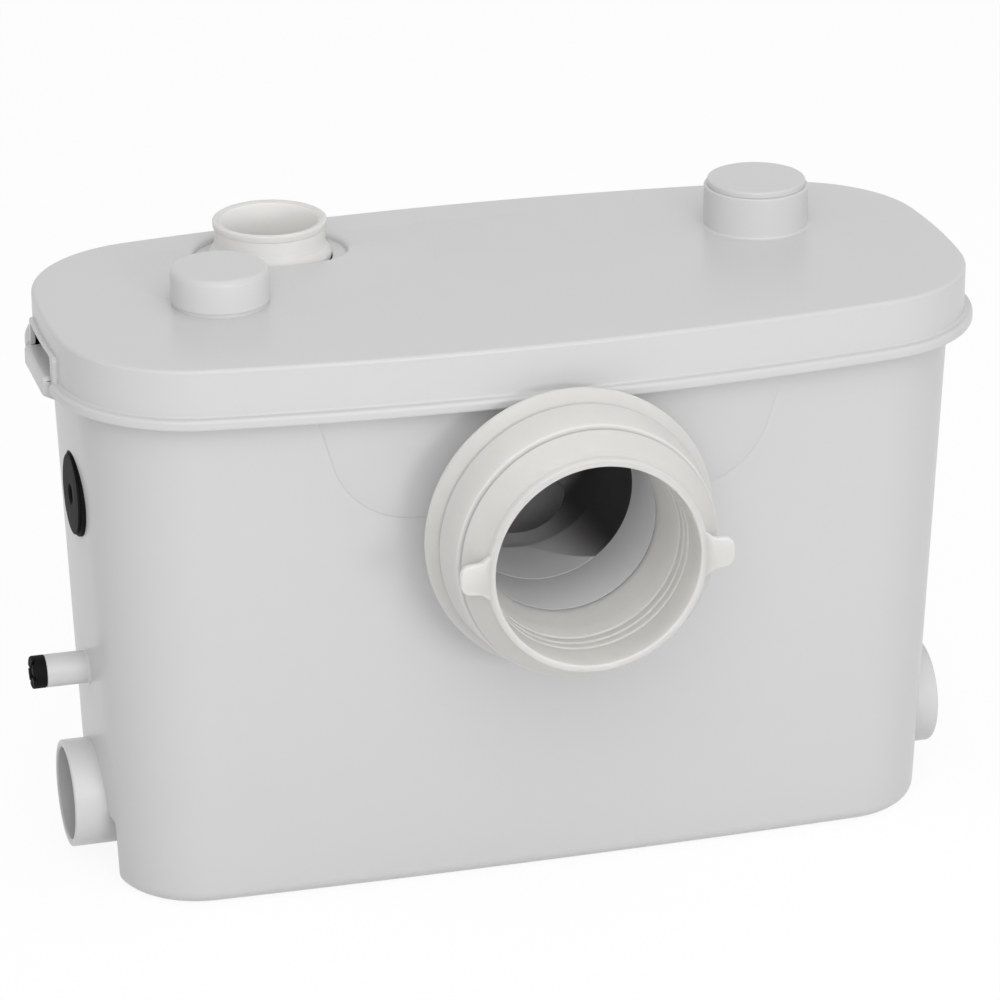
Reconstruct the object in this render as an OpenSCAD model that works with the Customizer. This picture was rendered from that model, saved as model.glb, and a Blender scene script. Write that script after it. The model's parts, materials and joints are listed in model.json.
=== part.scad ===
// Macerator toilet pump: a drafted tank with a clip-on lid, a stepped rubber pan connector,
// two low side inlets, a discharge sleeve, and a vertical grinder pump with its pressure switch inside.
// Millimetres, +Z up, origin on the floor under the middle of the tank, pan connector towards -Y.

/* [Lid] */
// Width of the lid over its lower bead
lid_w = 434; // [420:1:450]
// Depth of the lid over its lower bead
lid_d = 204; // [198:1:212]
// Bow radius of the lid's long sides
lid_side_r = 1200; // [900:10:2000]
// Bow radius of the lid's short ends
lid_end_r = 354; // [320:1:420]
// Radius of the lid's plan corners
lid_corner_r = 66; // [58:1:72]
// Height of the lid from the bead's underside to the top
lid_h = 27; // [25:0.5:34]
// Wall of the lid
lid_wall = 3; // [2.4:0.1:3.6]
// How far the lower bead stands out from the skirt
lid_bead_out = 3.9; // [2.5:0.1:4.2]
// Height of the lower bead
lid_bead_h = 5; // [3.5:0.1:7]
// Radius of the lid's top edge
lid_edge_r = 4; // [2:0.1:5]

/* [Tank] */
// Height of the bead's underside above the floor
tank_h = 242.5; // [236:0.5:256]
// Inset of the tank wall from the bead's edge
tank_inset = 11.3; // [10.6:0.1:12.5]
// Width of the tank at the floor
base_w = 391.6; // [384:0.2:400]
// Depth of the tank at the floor
base_d = 140; // [136:0.5:150]
// Bow radius of the long sides at the floor
base_side_r = 4860; // [2000:20:6000]
// Radius of the plan corners at the floor
base_corner_r = 40.7; // [34:0.1:46]
// Radius of the tank's bottom edge
base_edge_r = 6.8; // [4:0.1:8]
// Wall of the tank
tank_wall = 3.5; // [2.8:0.1:4]
// Thickness of the tank floor
tank_floor = 4; // [3:0.1:6]
// Height of the rim that stands up inside the lid
rim_h = 15; // [12:0.5:17]
// Half width of the flat pad on the front, under the lid
pad_half_w = 109; // [100:1:114]
// Half width of the front pad at its foot
pad_foot_w = 93; // [84:1:98]
// Drop of the front pad below the lid
pad_drop = 54; // [46:1:58]
// Corner radius of the front pad
pad_corner_r = 46; // [36:1:48]
// How far the front pad stands proud
pad_out = 0.6; // [0.4:0.1:1]

/* [Lid clips] */
// Width of the clip window in the lid's end
clip_w = 46.5; // [40:0.5:52]
// Height of the clip window
clip_h = 15.5; // [13:0.5:17]
// Width of the raised frame round the window
clip_frame = 9.5; // [6:0.5:11]
// Width of the frame above a clip window
clip_frame_top = 1.8; // [1.5:0.1:3]
// How far the frame stands out from the skirt
clip_frame_out = 2.2; // [1.5:0.1:2.6]
// Reach of the catch past the skirt
catch_out = 4.9; // [3.5:0.1:5.5]
// Height of the catch above the bead's underside
catch_h = 6; // [5:0.5:8]
// How far a catch hangs below the lid's bead
catch_drop = 3; // [2:0.5:4]

/* [Pan connector] */
// Height of the pan connector's axis
wc_z = 186.8; // [180:0.2:190]
// Inner radius of the tank's inlet stub
wc_stub_r = 42; // [38:0.5:44]
// Wall of the inlet stub
wc_stub_wall = 3.5; // [2.5:0.1:4]
// Distance from the tank's middle to the stub's front edge
wc_stub_front = 104; // [100:0.5:108]
// Distance from the tank's middle to the stub's inner end
wc_stub_back = 68; // [64:0.5:72]
// Inner radius of the rubber mouth
wc_mouth_r = 46.7; // [44:0.1:49]
// Distance from the tank's middle to the rubber mouth
wc_front = 157; // [150:0.5:166]
// Radius of the largest ring
wc_ring_r = 66.6; // [64:0.1:69]
// Radius of the second ring
wc_ring2_r = 61; // [60:0.1:62]
// Radius at the foot of the front cone
wc_cone_r = 58.2; // [56:0.1:58.4]
// Wall of the rubber at the mouth
wc_lip = 2.8; // [2:0.1:4]
// Radius of the two pull ears
wc_ear_r = 7.2; // [6:0.1:9]
// Distance from the axis to the middle of an ear
wc_ear_at = 55; // [53:0.5:58]
// Thickness of an ear
wc_ear_t = 4; // [3:0.5:6]

/* [Side inlets] */
// Outer diameter of the side inlet stubs
side_d = 50; // [44:0.5:54]
// Wall of the side inlet stubs
side_wall = 3.5; // [2.5:0.1:4]
// Height of the side inlets' axis
side_z = 33; // [31:0.5:40]
// Distance from the tank's middle to a stub's mouth
side_reach = 211; // [206:0.5:216]
// Depth of the recess under a stub
recess_depth = 13; // [9:0.5:16]
// Half length of the recess under a stub
recess_half = 36; // [30:0.5:40]
// Overhang of a flap past the stub's bore
flap_over = 2.5; // [1.5:0.1:3]
// Thickness of a flap
flap_t = 2.5; // [2:0.1:3.5]
// Diameter of the flap pins
flap_pin_d = 3; // [2.5:0.1:4]

/* [End fittings] */
// Height of the cable grommet's axis
grommet_z = 187; // [176:0.5:196]
// How far the grommet sits in front of the middle
grommet_y = 11; // [0:0.5:14]
// Diameter of the grommet's flange
grommet_d = 41.6; // [36:0.2:46]
// Diameter of the grommet's cable hole
grommet_hole_d = 10; // [6:0.1:11]
// Height of the condensate spigot's axis
spigot_z = 99; // [90:0.5:112]
// Distance of the spigot's axis in front of the middle
spigot_y = 6; // [0:0.5:14]
// Outer diameter of the condensate spigot
spigot_d = 15.3; // [12:0.1:18]
// Distance from the tank's middle to the spigot's end
spigot_reach = 219.5; // [214:0.5:226]
// Length of the plug outside the spigot
plug_len = 6.5; // [5:0.5:9]

/* [Lid fittings] */
// Place of the vent cap across the lid
vent_x = -132.6; // [-150:0.2:-125]
// Place of the vent cap along the depth
vent_y = -5; // [-20:0.5:5]
// Diameter of the vent cap
vent_d = 44.6; // [36:0.2:52]
// Height of the vent cap
vent_h = 15.7; // [12:0.1:20]
// Height of the vent seat on the lid
vent_seat_h = 1.8; // [1:0.1:3]
// Place of the spare inlet across the lid
spare_x = 132.7; // [120:0.1:140]
// Place of the spare inlet along the depth
spare_y = 31.5; // [20:0.5:40]
// Outer diameter of the spare inlet
spare_d = 49; // [40:0.5:52]
// Height of the spare inlet above the lid
spare_h = 19.5; // [14:0.5:26]
// Wall of the spare inlet
spare_wall = 3; // [2:0.1:4]
// Height of the blanking cap's head
cap_head_h = 3; // [2:0.1:5]

/* [Discharge] */
// Place of the discharge sleeve across the lid
out_x = -95; // [-102:0.5:-88]
// Place of the discharge sleeve along the depth
out_y = 57.5; // [50:0.5:58]
// Bore radius of the sleeve
out_bore_r = 20; // [16:0.5:21]
// Radius of the sleeve's neck
sleeve_neck_r = 24.9; // [24:0.1:26]
// Radius of the sleeve's collar
sleeve_collar_r = 28.4; // [26.5:0.1:28.6]
// Height of the sleeve's lip above the lid
sleeve_up = 16; // [12:0.5:24]
// Slack between the collar and the lid's slot
sleeve_slack = 0.5; // [0.4:0.1:1]
// Extra half length of the lid's slot beside the sleeve
slot_extra = 7; // [4:0.5:9]
// Outer radius of the discharge pipe
pipe_r = 13.5; // [12:0.5:14]
// Wall of the discharge pipe
pipe_wall = 2.5; // [2:0.1:3]
// Outer radius of the check valve's body
valve_r = 21.8; // [21:0.1:22]
// Underside of the check valve's chamber
valve_z = 196; // [185:0.5:205]
// Radius of the check valve's flap
valve_flap_r = 11.2; // [10.6:0.1:11.4]
// Radius of the check valve's seat hole
valve_seat_r = 9; // [8:0.1:9.4]

/* [Pump and motor] */
// Place of the pump's axis across the tank
pump_x = 95; // [92:0.5:98]
// Place of the pump's axis along the depth
pump_y = 14; // [12:0.5:15]
// Outer radius of the volute
volute_r = 46; // [44:0.5:48]
// Height of the volute
volute_h = 30; // [28:0.5:32]
// Clear height under the volute
volute_lift = 10; // [8:0.5:12]
// Radius of the impeller
impeller_r = 34; // [30:0.5:36]
// Outer radius of the grinder basket
basket_r = 50; // [48:0.5:51]
// Wall of the grinder basket
basket_wall = 3; // [2:0.1:3.5]
// Height of the grinder basket
basket_h = 98; // [94:0.5:100]
// Number of slots round the basket
basket_slots = 16; // [10:1:20]
// Radius of the motor housing
motor_r = 44; // [42:0.5:44]
// Wall of the motor housing
motor_wall = 3; // [2:0.1:4]
// Height of the motor housing
motor_h = 92; // [88:0.5:94]
// Outer radius of the stator core
stator_r = 40.8; // [38:0.1:40.8]
// Height of the stator core
stator_h = 44; // [36:0.5:46]
// Radius of the rotor core
rotor_r = 25; // [20:0.5:26]
// Gap between rotor and stator
air_gap = 0.6; // [0.4:0.1:1]
// Radius of the motor shaft
shaft_r = 6; // [5:0.1:7]
// Outer radius of the ball bearings
bearing_r = 16; // [14:0.5:17]
// Width of the ball bearings
bearing_w = 10; // [8:0.5:11]

/* [Pressure switch] */
// Place of the air chamber across the tank
air_x = -120; // [-124:0.5:-116]
// Place of the air chamber along the depth
air_y = -32; // [-36:0.5:-28]
// Outer radius of the air chamber
air_r = 22; // [20:0.5:24]
// Wall of the air chamber
air_wall = 3; // [2:0.1:4]
// Underside of the control box
box_z = 197.5; // [190:0.5:200]
// Length of the control box
box_l = 110; // [104:0.5:114]
// Depth of the control box
box_d = 72; // [68:0.5:76]
// Height of the control box without its cover
box_h = 48; // [46:0.5:49]
// Wall of the control box
box_wall = 2.5; // [2:0.1:3]
// Corner radius of the control box
box_corner_r = 7; // [4:0.5:10]
// Travel of the switch plunger
plunger_travel = 2; // [1:0.1:2.5]

/* [Clearances] */
// Gap between parts that push together
slip = 0.2; // [0.1:0.05:0.4]
// Radial gap of a shaft or pin that turns
running = 0.05; // [0.02:0.01:0.1]
// Gap between a closed flap and its seat
seat_gap = 0.3; // [0.2:0.05:0.5]
// Gap under pieces that rest on a soft seal
rest_gap = 0.05; // [0.02:0.01:0.1]

/* [Hidden] */
$fn = 64;

shell_white = [0.86, 0.86, 0.86];
rubber_cream = [0.90, 0.89, 0.86];
rubber_black = [0.08, 0.08, 0.08];
plastic_grey = [0.70, 0.70, 0.71];
plastic_black = [0.12, 0.12, 0.13];
steel = [0.72, 0.73, 0.75];
copper = [0.72, 0.42, 0.22];

big = 600;
lap = 1;
lid_top = tank_h + lid_h;
lid_under = lid_top - lid_wall;
rim_top = tank_h + rim_h;
side_r = side_d / 2;
recess_x = base_w / 2 - recess_depth;
flap_seat = recess_x - tank_wall - 2;
flap_r = side_r - side_wall + flap_over;
flap_axis_x = flap_seat - seat_gap - flap_t - 1;
flap_axis_z = side_z + side_r + 4.5;
flap_knuckle_r = 3.5;
flap_knuckle_w = 20;
ear_w = 4;
ear_at = flap_knuckle_w / 2 + slip + ear_w / 2;
stub_out_r = wc_stub_r + wc_stub_wall;
grommet_x = mix(lid_w / 2 - tank_inset, base_w / 2, (tank_h - grommet_z) / tank_h)
  - pow(grommet_y, 2) / (2 * (lid_end_r - tank_inset));
grommet_sink = 1.6;
hole_draft = 0.02;

// Stack of the pump, from the tank floor up
volute_z = tank_floor + volute_lift;
volute_top = volute_z + volute_h;
cover_t = 6;
basket_z = volute_top + cover_t;
basket_top = basket_z + basket_h;
basket_floor = 4;
motor_z = basket_top;
motor_floor = 14;
motor_top = motor_z + motor_h;
motor_cap_t = 7;
seal_h = 4;
bearing_low_z = motor_z + motor_floor - bearing_w;
bearing_top_z = motor_top - bearing_w;
stator_z = motor_z + motor_floor + 14;
pipe_y = pump_y + 36;
pipe_z = volute_z + volute_h / 2 - 1;

// Eight-arc outline: long sides, ends and corners are arcs that run into each other
side_steps = 3;
end_steps = 2;
corner_steps = 7;

function mix(a, b, t) = a + (b - a) * t;
function corner_centre(a, b, rs, re, rc) =
  let (s = [0, b - rs], e = [a - re, 0], d = norm(e - s), p = rs - rc, q = re - rc)
  let (k = (p * p - q * q + d * d) / (2 * d), h = sqrt(max(p * p - k * k, 0)), u = (e - s) / d)
  s + k * u + h * [u[1], -u[0]];
function arc(c, r, from, to, steps) =
  [for (i = [0 : steps - 1]) let (t = mix(from, to, i / steps)) c + r * [cos(t), sin(t)]];
function quarter(a, b, rs, re, rc) =
  let (c = corner_centre(a, b, rs, re, rc))
  let (te = atan2(c[1], c[0] - a + re), ts = atan2(c[1] - b + rs, c[0]))
  concat(arc([a - re, 0], re, 0, te, end_steps), arc(c, rc, te, ts, corner_steps),
         arc([0, b - rs], rs, ts, 90, side_steps), [[0, b]]);
function outline(a, b, rs, re, rc) =
  let (q = quarter(a, b, rs, re, rc), n = len(q) - 1)
  concat([for (i = [0 : n - 1]) q[i]], [for (i = [n : -1 : 1]) [-q[i][0], q[i][1]]],
         [for (i = [0 : n - 1]) -q[i]], [for (i = [n : -1 : 1]) [q[i][0], -q[i][1]]]);

// Lid outline at an inset from the bead's edge
function lid_line(inset) =
  outline(lid_w / 2 - inset, lid_d / 2 - inset, lid_side_r - inset, lid_end_r - inset, lid_corner_r - inset);
// Tank outline at a height, at an inset from its outer wall
function tank_line(z, inset) =
  let (t = (tank_h - z) / tank_h)
  let (a = mix(lid_w / 2 - tank_inset, base_w / 2, t), b = mix(lid_d / 2 - tank_inset, base_d / 2, t))
  let (rs = 1 / mix(1 / (lid_side_r - tank_inset), 1 / base_side_r, t))
  let (rc = mix(lid_corner_r - tank_inset, base_corner_r, t))
  outline(a - inset, b - inset, rs - inset, lid_end_r - tank_inset - inset, rc - inset);
function ring(z, line) = [for (p = line) [p[0], p[1], z]];
// Half depth of the tank's outer wall on the centre line
function tank_half_d(z) = mix(lid_d / 2 - tank_inset, base_d / 2, (tank_h - z) / tank_h);
// Half width of the tank's outer wall on the centre line
function tank_half_w(z) = mix(lid_w / 2 - tank_inset, base_w / 2, (tank_h - z) / tank_h);

module loft(rings) {
  n = len(rings[0]);
  last = len(rings) - 1;
  points = [for (r = rings, p = r) p];
  sides = [for (i = [0 : last - 1], j = [0 : n - 1], k = [0, 1])
    let (j2 = (j + 1) % n, a = i * n + j, b = i * n + j2, c = a + n, d = b + n)
    k == 0 ? [a, c, d] : [a, d, b]];
  bottom = [for (j = [0 : n - 1]) j];
  top = [for (j = [n - 1 : -1 : 0]) last * n + j];
  polyhedron(points = points, faces = concat(sides, [bottom, top]), convexity = 6);
}
module along_x(x0, x1, r, y = 0, z = 0) {
  translate([x0, y, z]) rotate([0, 90, 0]) cylinder(h = x1 - x0, r = r);
}
module along_y(y0, y1, r, x = 0, z = 0) {
  translate([x, y1, z]) rotate([90, 0, 0]) cylinder(h = y1 - y0, r = r);
}
module post(z0, z1, r) {
  translate([0, 0, z0]) cylinder(h = z1 - z0, r = r);
}
module tube(z0, z1, r_out, r_in) {
  difference() {
    post(z0, z1, r_out);
    post(z0 - lap, z1 + lap, r_in);
  }
}
module block(low, high) {
  translate(low) cube(high - low);
}
module both_ends() {
  children();
  mirror([1, 0, 0]) children();
}
module around(n, r, turn = 0) {
  for (i = [0 : n - 1]) rotate([0, 0, i * 360 / n + turn]) translate([r, 0, 0]) children();
}
module at_pump() {
  translate([pump_x, pump_y, 0]) children();
}
// Plate with round corners, without rounding tools, so that its holes stay true
module rounded_plate(l, d, r, z0, z1) {
  block([-l / 2 + r, -d / 2, z0], [l / 2 - r, d / 2, z1]);
  block([-l / 2, -d / 2 + r, z0], [l / 2, d / 2 - r, z1]);
  for (x = [-1, 1], y = [-1, 1])
    translate([x * (l / 2 - r), y * (d / 2 - r), 0]) post(z0, z1, r);
}

// Tank

function tank_bottom_rings() =
  [for (t = [90, 60, 30, 0])
    let (z = base_edge_r * (1 - sin(t))) ring(z, tank_line(z, base_edge_r * (1 - cos(t))))];
module tank_outside() {
  loft(concat(tank_bottom_rings(), [for (z = [tank_h, rim_top]) ring(z, tank_line(z, 0))]));
}
module tank_inside() {
  z1 = tank_floor + base_edge_r;
  loft([ring(tank_floor, tank_line(tank_floor, tank_wall + base_edge_r / 2)),
        ring(z1, tank_line(z1, tank_wall)),
        ring(tank_h, tank_line(tank_h, tank_wall)),
        ring(rim_top + lap, tank_line(rim_top + lap, tank_wall))]);
}
// Point on a lower corner of the pad, whose sides slant inwards
function pad_corner(side, t) =
  let (slant = atan((pad_half_w - pad_foot_w) / pad_drop), a = mix(180 + slant, 270, t))
  let (x = (pad_corner_r + (pad_drop - pad_corner_r) * sin(slant)) / cos(slant) - pad_half_w)
  [side * (x + pad_corner_r * cos(a)), tank_h - pad_drop + pad_corner_r * (1 + sin(a))];
module front_pad() {
  z0 = tank_h - pad_drop;
  intersection() {
    loft([for (z = [z0 - lap, tank_h]) ring(z, tank_line(z, -pad_out))]);
    rotate([90, 0, 0]) linear_extrude(big) polygon(concat(
      [[-pad_half_w, tank_h]],
      [for (i = [0 : 8]) pad_corner(1, i / 8)],
      [for (i = [8 : -1 : 0]) pad_corner(-1, i / 8)],
      [[pad_half_w, tank_h]]));
  }
}
module recess(grow) {
  block([recess_x - grow, -recess_half - grow, -lap], [big, recess_half + grow, side_z + grow]);
}
module catch() {
  x0 = lid_w / 2 - lid_bead_out;
  wall_x = tank_half_w(tank_h) - tank_wall / 2;
  z1 = tank_h + catch_h;
  rotate([90, 0, 0]) translate([0, 0, -clip_w / 2 + 1.8]) linear_extrude(clip_w - 3.6)
    polygon([[wall_x, tank_h - 10], [x0 + catch_out - 1.5, tank_h - catch_drop],
             [x0 + catch_out, tank_h - catch_drop + 1.5], [x0 + catch_out, z1 - 1],
             [x0 + catch_out - 1, z1], [x0 - 2, z1], [x0 - 2, z1 - 3], [wall_x, z1 - 3]]);
}
module flap_ears() {
  for (y = [-1, 1]) translate([0, y * ear_at - ear_w / 2, 0]) {
    block([flap_seat, 0, side_z + side_r - 10], [flap_seat + 6, ear_w, flap_axis_z + 3.5]);
    block([flap_axis_x - 3.5, 0, flap_axis_z - 3.5], [flap_seat + lap, ear_w, flap_axis_z + 3.5]);
  }
}
module tank_shell() {
  difference() {
    union() {
      difference() {
        union() {
          tank_outside();
          front_pad();
        }
        tank_inside();
      }
      both_ends() intersection() {
        tank_outside();
        recess(tank_wall);
      }
    }
    both_ends() recess(0);
  }
}
// Hole for the grommet, which widens outwards by the mould's draft
module drafted_hole(deep, r) {
  translate([deep - grommet_x, -grommet_y, grommet_z]) rotate([0, -90, 0])
    cylinder(h = 40, r1 = r, r2 = r + 40 * hole_draft);
}
module tank() {
  spigot_root = -tank_half_w(spigot_z) + tank_wall;
  color(shell_white) difference() {
    union() {
      tank_shell();
      along_y(-wc_stub_front, -wc_stub_back, stub_out_r, 0, wc_z);
      both_ends() {
        along_x(flap_seat, side_reach, side_r, 0, side_z);
        flap_ears();
        catch();
      }
      along_x(-spigot_reach, spigot_root, spigot_d / 2, -spigot_y, spigot_z);
      translate([air_x, air_y, 0]) tube(tank_floor - lap, tank_floor + 6, air_r + slip + 3, air_r + slip);
    }
    along_y(-wc_stub_front - lap, -wc_stub_back + lap, wc_stub_r, 0, wc_z);
    both_ends() {
      along_x(flap_seat - lap, side_reach + lap, side_r - side_wall, 0, side_z);
      along_y(-ear_at - ear_w, ear_at + ear_w, flap_pin_d / 2, flap_axis_x, flap_axis_z);
    }
    along_x(-spigot_reach - lap, spigot_root + lap, spigot_d / 2 - 2.4, -spigot_y, spigot_z);
    along_x(-big, -spigot_reach, spigot_d / 2 + slip, -spigot_y, spigot_z);
    drafted_hole(20, grommet_d / 2 - 4);
    drafted_hole(grommet_sink, grommet_d / 2 + seat_gap);
  }
}

// Lid and what it carries

lid_skirt = lid_bead_out;
lid_inner = lid_bead_out + lid_wall;
module lid_outside() {
  z1 = tank_h + lid_bead_h;
  loft(concat(
    [ring(tank_h, lid_line(0.8)), ring(tank_h + 0.8, lid_line(0)), ring(z1 - 1.6, lid_line(0)),
     ring(z1 - 0.5, lid_line(0.9)), ring(z1, lid_line(lid_skirt))],
    [for (t = [0, 30, 60, 90]) let (up = lid_edge_r * (1 - sin(t)), in = lid_edge_r * (1 - cos(t)))
      ring(lid_top - up, lid_line(lid_skirt + in))]));
}
module lid_inside() {
  loft([ring(tank_h - lap, lid_line(lid_inner)), ring(lid_under - 2, lid_line(lid_inner)),
        ring(lid_under, lid_line(lid_inner + 2))]);
}
// Strip that follows the tank's rim, for the lid's rib and its gasket
module rim_strip(z0, z1, grow) {
  translate([0, 0, z0]) linear_extrude(z1 - z0) difference() {
    polygon(tank_line(rim_top, -grow));
    polygon(tank_line(rim_top, tank_wall + grow));
  }
}
gasket_h = 4.5;
module clip_frame_solid() {
  x0 = lid_w / 2 - lid_skirt;
  block([x0 - lid_wall + 0.5, -clip_w / 2 - clip_frame, tank_h],
        [x0 + clip_frame_out, clip_w / 2 + clip_frame, tank_h + clip_h + clip_frame_top]);
}
module clip_window() {
  x0 = lid_w / 2 - lid_inner - 4;
  block([x0, -clip_w / 2, tank_h - lap], [big, clip_w / 2, tank_h + clip_h]);
}
module sleeve_slot(z0, z1, grow) {
  r = sleeve_collar_r + sleeve_slack + grow;
  translate([out_x, out_y, 0]) {
    for (x = [-1, 1]) translate([x * slot_extra, 0, 0]) post(z0, z1, r);
    block([-slot_extra, -r, z0], [slot_extra, r, z1]);
  }
}
vent_hole_r = 10;
dish_floor = 2.5;
module lid() {
  color(shell_white) difference() {
    union() {
      difference() {
        lid_outside();
        lid_inside();
      }
      both_ends() clip_frame_solid();
      rim_strip(rim_top + gasket_h, lid_under + 0.5, 0);
      sleeve_slot(lid_under - dish_floor, lid_under + 0.5, 2);
      translate([vent_x, vent_y, 0]) post(lid_under + 1, lid_top + vent_seat_h, vent_d / 2 - 0.6);
      translate([spare_x, spare_y, 0]) post(lid_under + 1, lid_top + spare_h, spare_d / 2);
    }
    both_ends() clip_window();
    sleeve_slot(lid_under, lid_top + lap, 0);
    translate([out_x, out_y, 0]) post(rim_top, lid_top, sleeve_collar_r + sleeve_slack);
    translate([vent_x, vent_y, 0]) post(lid_under - lap, lid_top + vent_seat_h + lap, vent_hole_r);
    translate([spare_x, spare_y, 0]) post(lid_under - lap, lid_top + spare_h + lap, spare_d / 2 - spare_wall);
  }
}
module lid_gasket() {
  color(rubber_black) rim_strip(rim_top, rim_top + gasket_h - rest_gap, -0.3);
}
vent_wall = 2.2;
vent_z = lid_top + vent_seat_h;
module vent_cap() {
  r = vent_d / 2;
  round = 3;
  color(shell_white) translate([vent_x, vent_y, vent_z]) difference() {
    rotate_extrude() polygon(concat(
      [[r - vent_wall, 0], [r, 0]],
      [for (t = [0 : 15 : 90]) [r - round + round * cos(t), vent_h - round + round * sin(t)]],
      [[0, vent_h], [0, vent_h - vent_wall], [r - vent_wall, vent_h - vent_wall]]));
    for (a = [30 : 60 : 150]) rotate([0, 0, a]) block([r - 2 * vent_wall, -3, -lap], [r + lap, 3, 1.2]);
  }
}
module charcoal_filter() {
  r = vent_d / 2 - vent_wall - slip;
  color(rubber_black) translate([vent_x, vent_y, 0]) post(vent_z, vent_z + vent_h - vent_wall - slip, r);
}
module blanking_cap() {
  z = lid_top + spare_h;
  plug_r = spare_d / 2 - spare_wall - slip;
  color(shell_white) translate([spare_x, spare_y, 0]) difference() {
    union() {
      post(z, z + cap_head_h, spare_d / 2 - 1.5);
      post(z - 12, z + lap, plug_r);
    }
    post(z - 12 - lap, z, plug_r - 2.5);
  }
}

// Pan connector and the way to the grinder

function wc_profile() =
  let (w = wc_front, s = wc_stub_front, grip = stub_out_r + slip, m = wc_mouth_r, lip = m + wc_lip)
  let (ra = wc_ring_r, rb = wc_ring2_r, rc = wc_cone_r)
  concat(
    [[grip, s - 11.5], [grip + 4, s - 11.5], [grip + 4, s + 1], [ra - 2, s + 4.5]],
    [[ra, s + 7.2], [ra, s + 9.6], [ra - 1.4, s + 11.9], [rb + 0.6, s + 13.4]],
    [[rb - 0.6, s + 14.4], [rb - 0.1, s + 15.8], [rb, s + 17.5], [rb - 1, s + 33.6], [rb - 2, s + 35.8]],
    [[rc, s + 36.6], [rc, s + 37.6], [rc - 0.3, s + 38.6]],
    [[lip + 1.6, w - 6.2], [lip, w - 4.6], [lip, w - 0.8], [lip - 0.8, w], [m + 0.7, w], [m, w - 0.8]],
    [[m, w - 15]],
    [for (i = [0 : 2]) each [[m - 1.9 - 0.3 * i, w - 17 - 5.4 * i], [m - 0.6 - 0.4 * i, w - 20 - 5.4 * i]]],
    [[wc_stub_r + 2, w - 35], [wc_stub_r + 1, s + 1], [wc_stub_r + 1, s + slip], [grip, s + slip]]);
module wc_connector() {
  color(rubber_cream) translate([0, 0, wc_z]) rotate([90, 0, 0]) union() {
    rotate_extrude() polygon(wc_profile());
    for (s = [-1, 1]) translate([0, 0, wc_front - 0.6 - wc_ear_t]) linear_extrude(wc_ear_t) union() {
      translate([s * wc_ear_at, 0]) circle(r = wc_ear_r);
      x0 = s > 0 ? wc_mouth_r + 1 : -wc_ear_at;
      translate([x0, -wc_ear_r]) square([wc_ear_at - wc_mouth_r - 1, 2 * wc_ear_r]);
    }
  }
}
hopper_wall = 3;
chamber_r = wc_stub_r + 4;
chamber_front = -30;
chute_r = 21;
chute_from = [-16, -12.8];
chute_len = 95;
module chute(r, extra) {
  translate([chute_from[0], pump_y, wc_z + chute_from[1]]) rotate([0, 135, 0])
    cylinder(h = chute_len + extra, r = r);
}
module inlet_hopper() {
  grip = stub_out_r + slip;
  color(plastic_grey) difference() {
    union() {
      along_y(-wc_stub_back - 7, -wc_stub_back + 3, grip + hopper_wall, 0, wc_z);
      along_y(-wc_stub_back, chamber_front, wc_stub_r + hopper_wall, 0, wc_z);
      along_y(chamber_front - hopper_wall, pump_y, chamber_r + hopper_wall, 0, wc_z);
      translate([0, pump_y, wc_z]) sphere(r = chamber_r + hopper_wall);
      chute(chute_r + hopper_wall, 0);
    }
    along_y(-wc_stub_back - 7 - lap, -wc_stub_back, grip, 0, wc_z);
    along_y(-wc_stub_back - lap, chamber_front + lap, wc_stub_r, 0, wc_z);
    along_y(chamber_front, pump_y, chamber_r, 0, wc_z);
    translate([0, pump_y, wc_z]) sphere(r = chamber_r);
    chute(chute_r, lap);
    at_pump() {
      post(0, big, basket_r + slip);
      post(basket_top - 5, motor_z + 6, basket_r + 4);
    }
  }
}

// Discharge side

sleeve_foot = lid_under - 14;
valve_neck = sleeve_foot + 10;
module discharge_sleeve() {
  n = sleeve_neck_r;
  lip_z = lid_top + sleeve_up;
  grip = valve_r + slip;
  mouth = out_bore_r + 2.4;
  color(rubber_cream) translate([out_x, out_y, 0]) rotate_extrude() polygon([
    [grip, sleeve_foot], [n, sleeve_foot], [n, lid_under - 2.5], [sleeve_collar_r, lid_under + 0.4],
    [sleeve_collar_r, lid_top - 1], [n + 1, lid_top + 3], [n, lid_top + 5], [n, lip_z - 6.4],
    [n + 1.9, lip_z - 5.6], [n + 1.9, lip_z - 0.8], [n + 1.1, lip_z], [mouth, lip_z],
    [out_bore_r, lip_z - 4], [out_bore_r, valve_neck + slip], [grip, valve_neck + slip]]);
}
valve_wall = 2.6;
valve_floor = 4;
pipe_in = pipe_r - pipe_wall;
valve_seat_y = pipe_y + 1;
valve_axis = [out_x - valve_flap_r - 2.8, valve_seat_y, valve_z + valve_floor + 3.2];
valve_knuckle = 3;
valve_ear = 2.4;
valve_pin_half = valve_knuckle + slip + valve_ear;
module valve_body() {
  color(plastic_black) difference() {
    union() {
      translate([out_x, out_y, 0]) difference() {
        post(valve_z, valve_neck, valve_r);
        post(valve_z + valve_floor, valve_neck + lap, valve_r - valve_wall);
      }
      translate([out_x, pipe_y, 0]) post(valve_z - 14, valve_z + lap, pipe_r + slip + 2.5);
      for (y = [-1, 1]) translate([valve_axis[0], valve_seat_y + y * (valve_pin_half - valve_ear / 2), 0])
        block([-2.4, -valve_ear / 2, valve_z + valve_floor - lap], [1.8, valve_ear / 2, valve_axis[2] + 2.4]);
    }
    translate([out_x, pipe_y, 0]) post(valve_z - 14 - lap, valve_z, pipe_r + slip);
    translate([out_x, valve_seat_y, 0]) post(valve_z - lap, valve_z + valve_floor + lap, valve_seat_r);
    along_y(valve_seat_y - valve_pin_half, valve_seat_y + valve_pin_half, 1.2, valve_axis[0], valve_axis[2]);
  }
}
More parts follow.
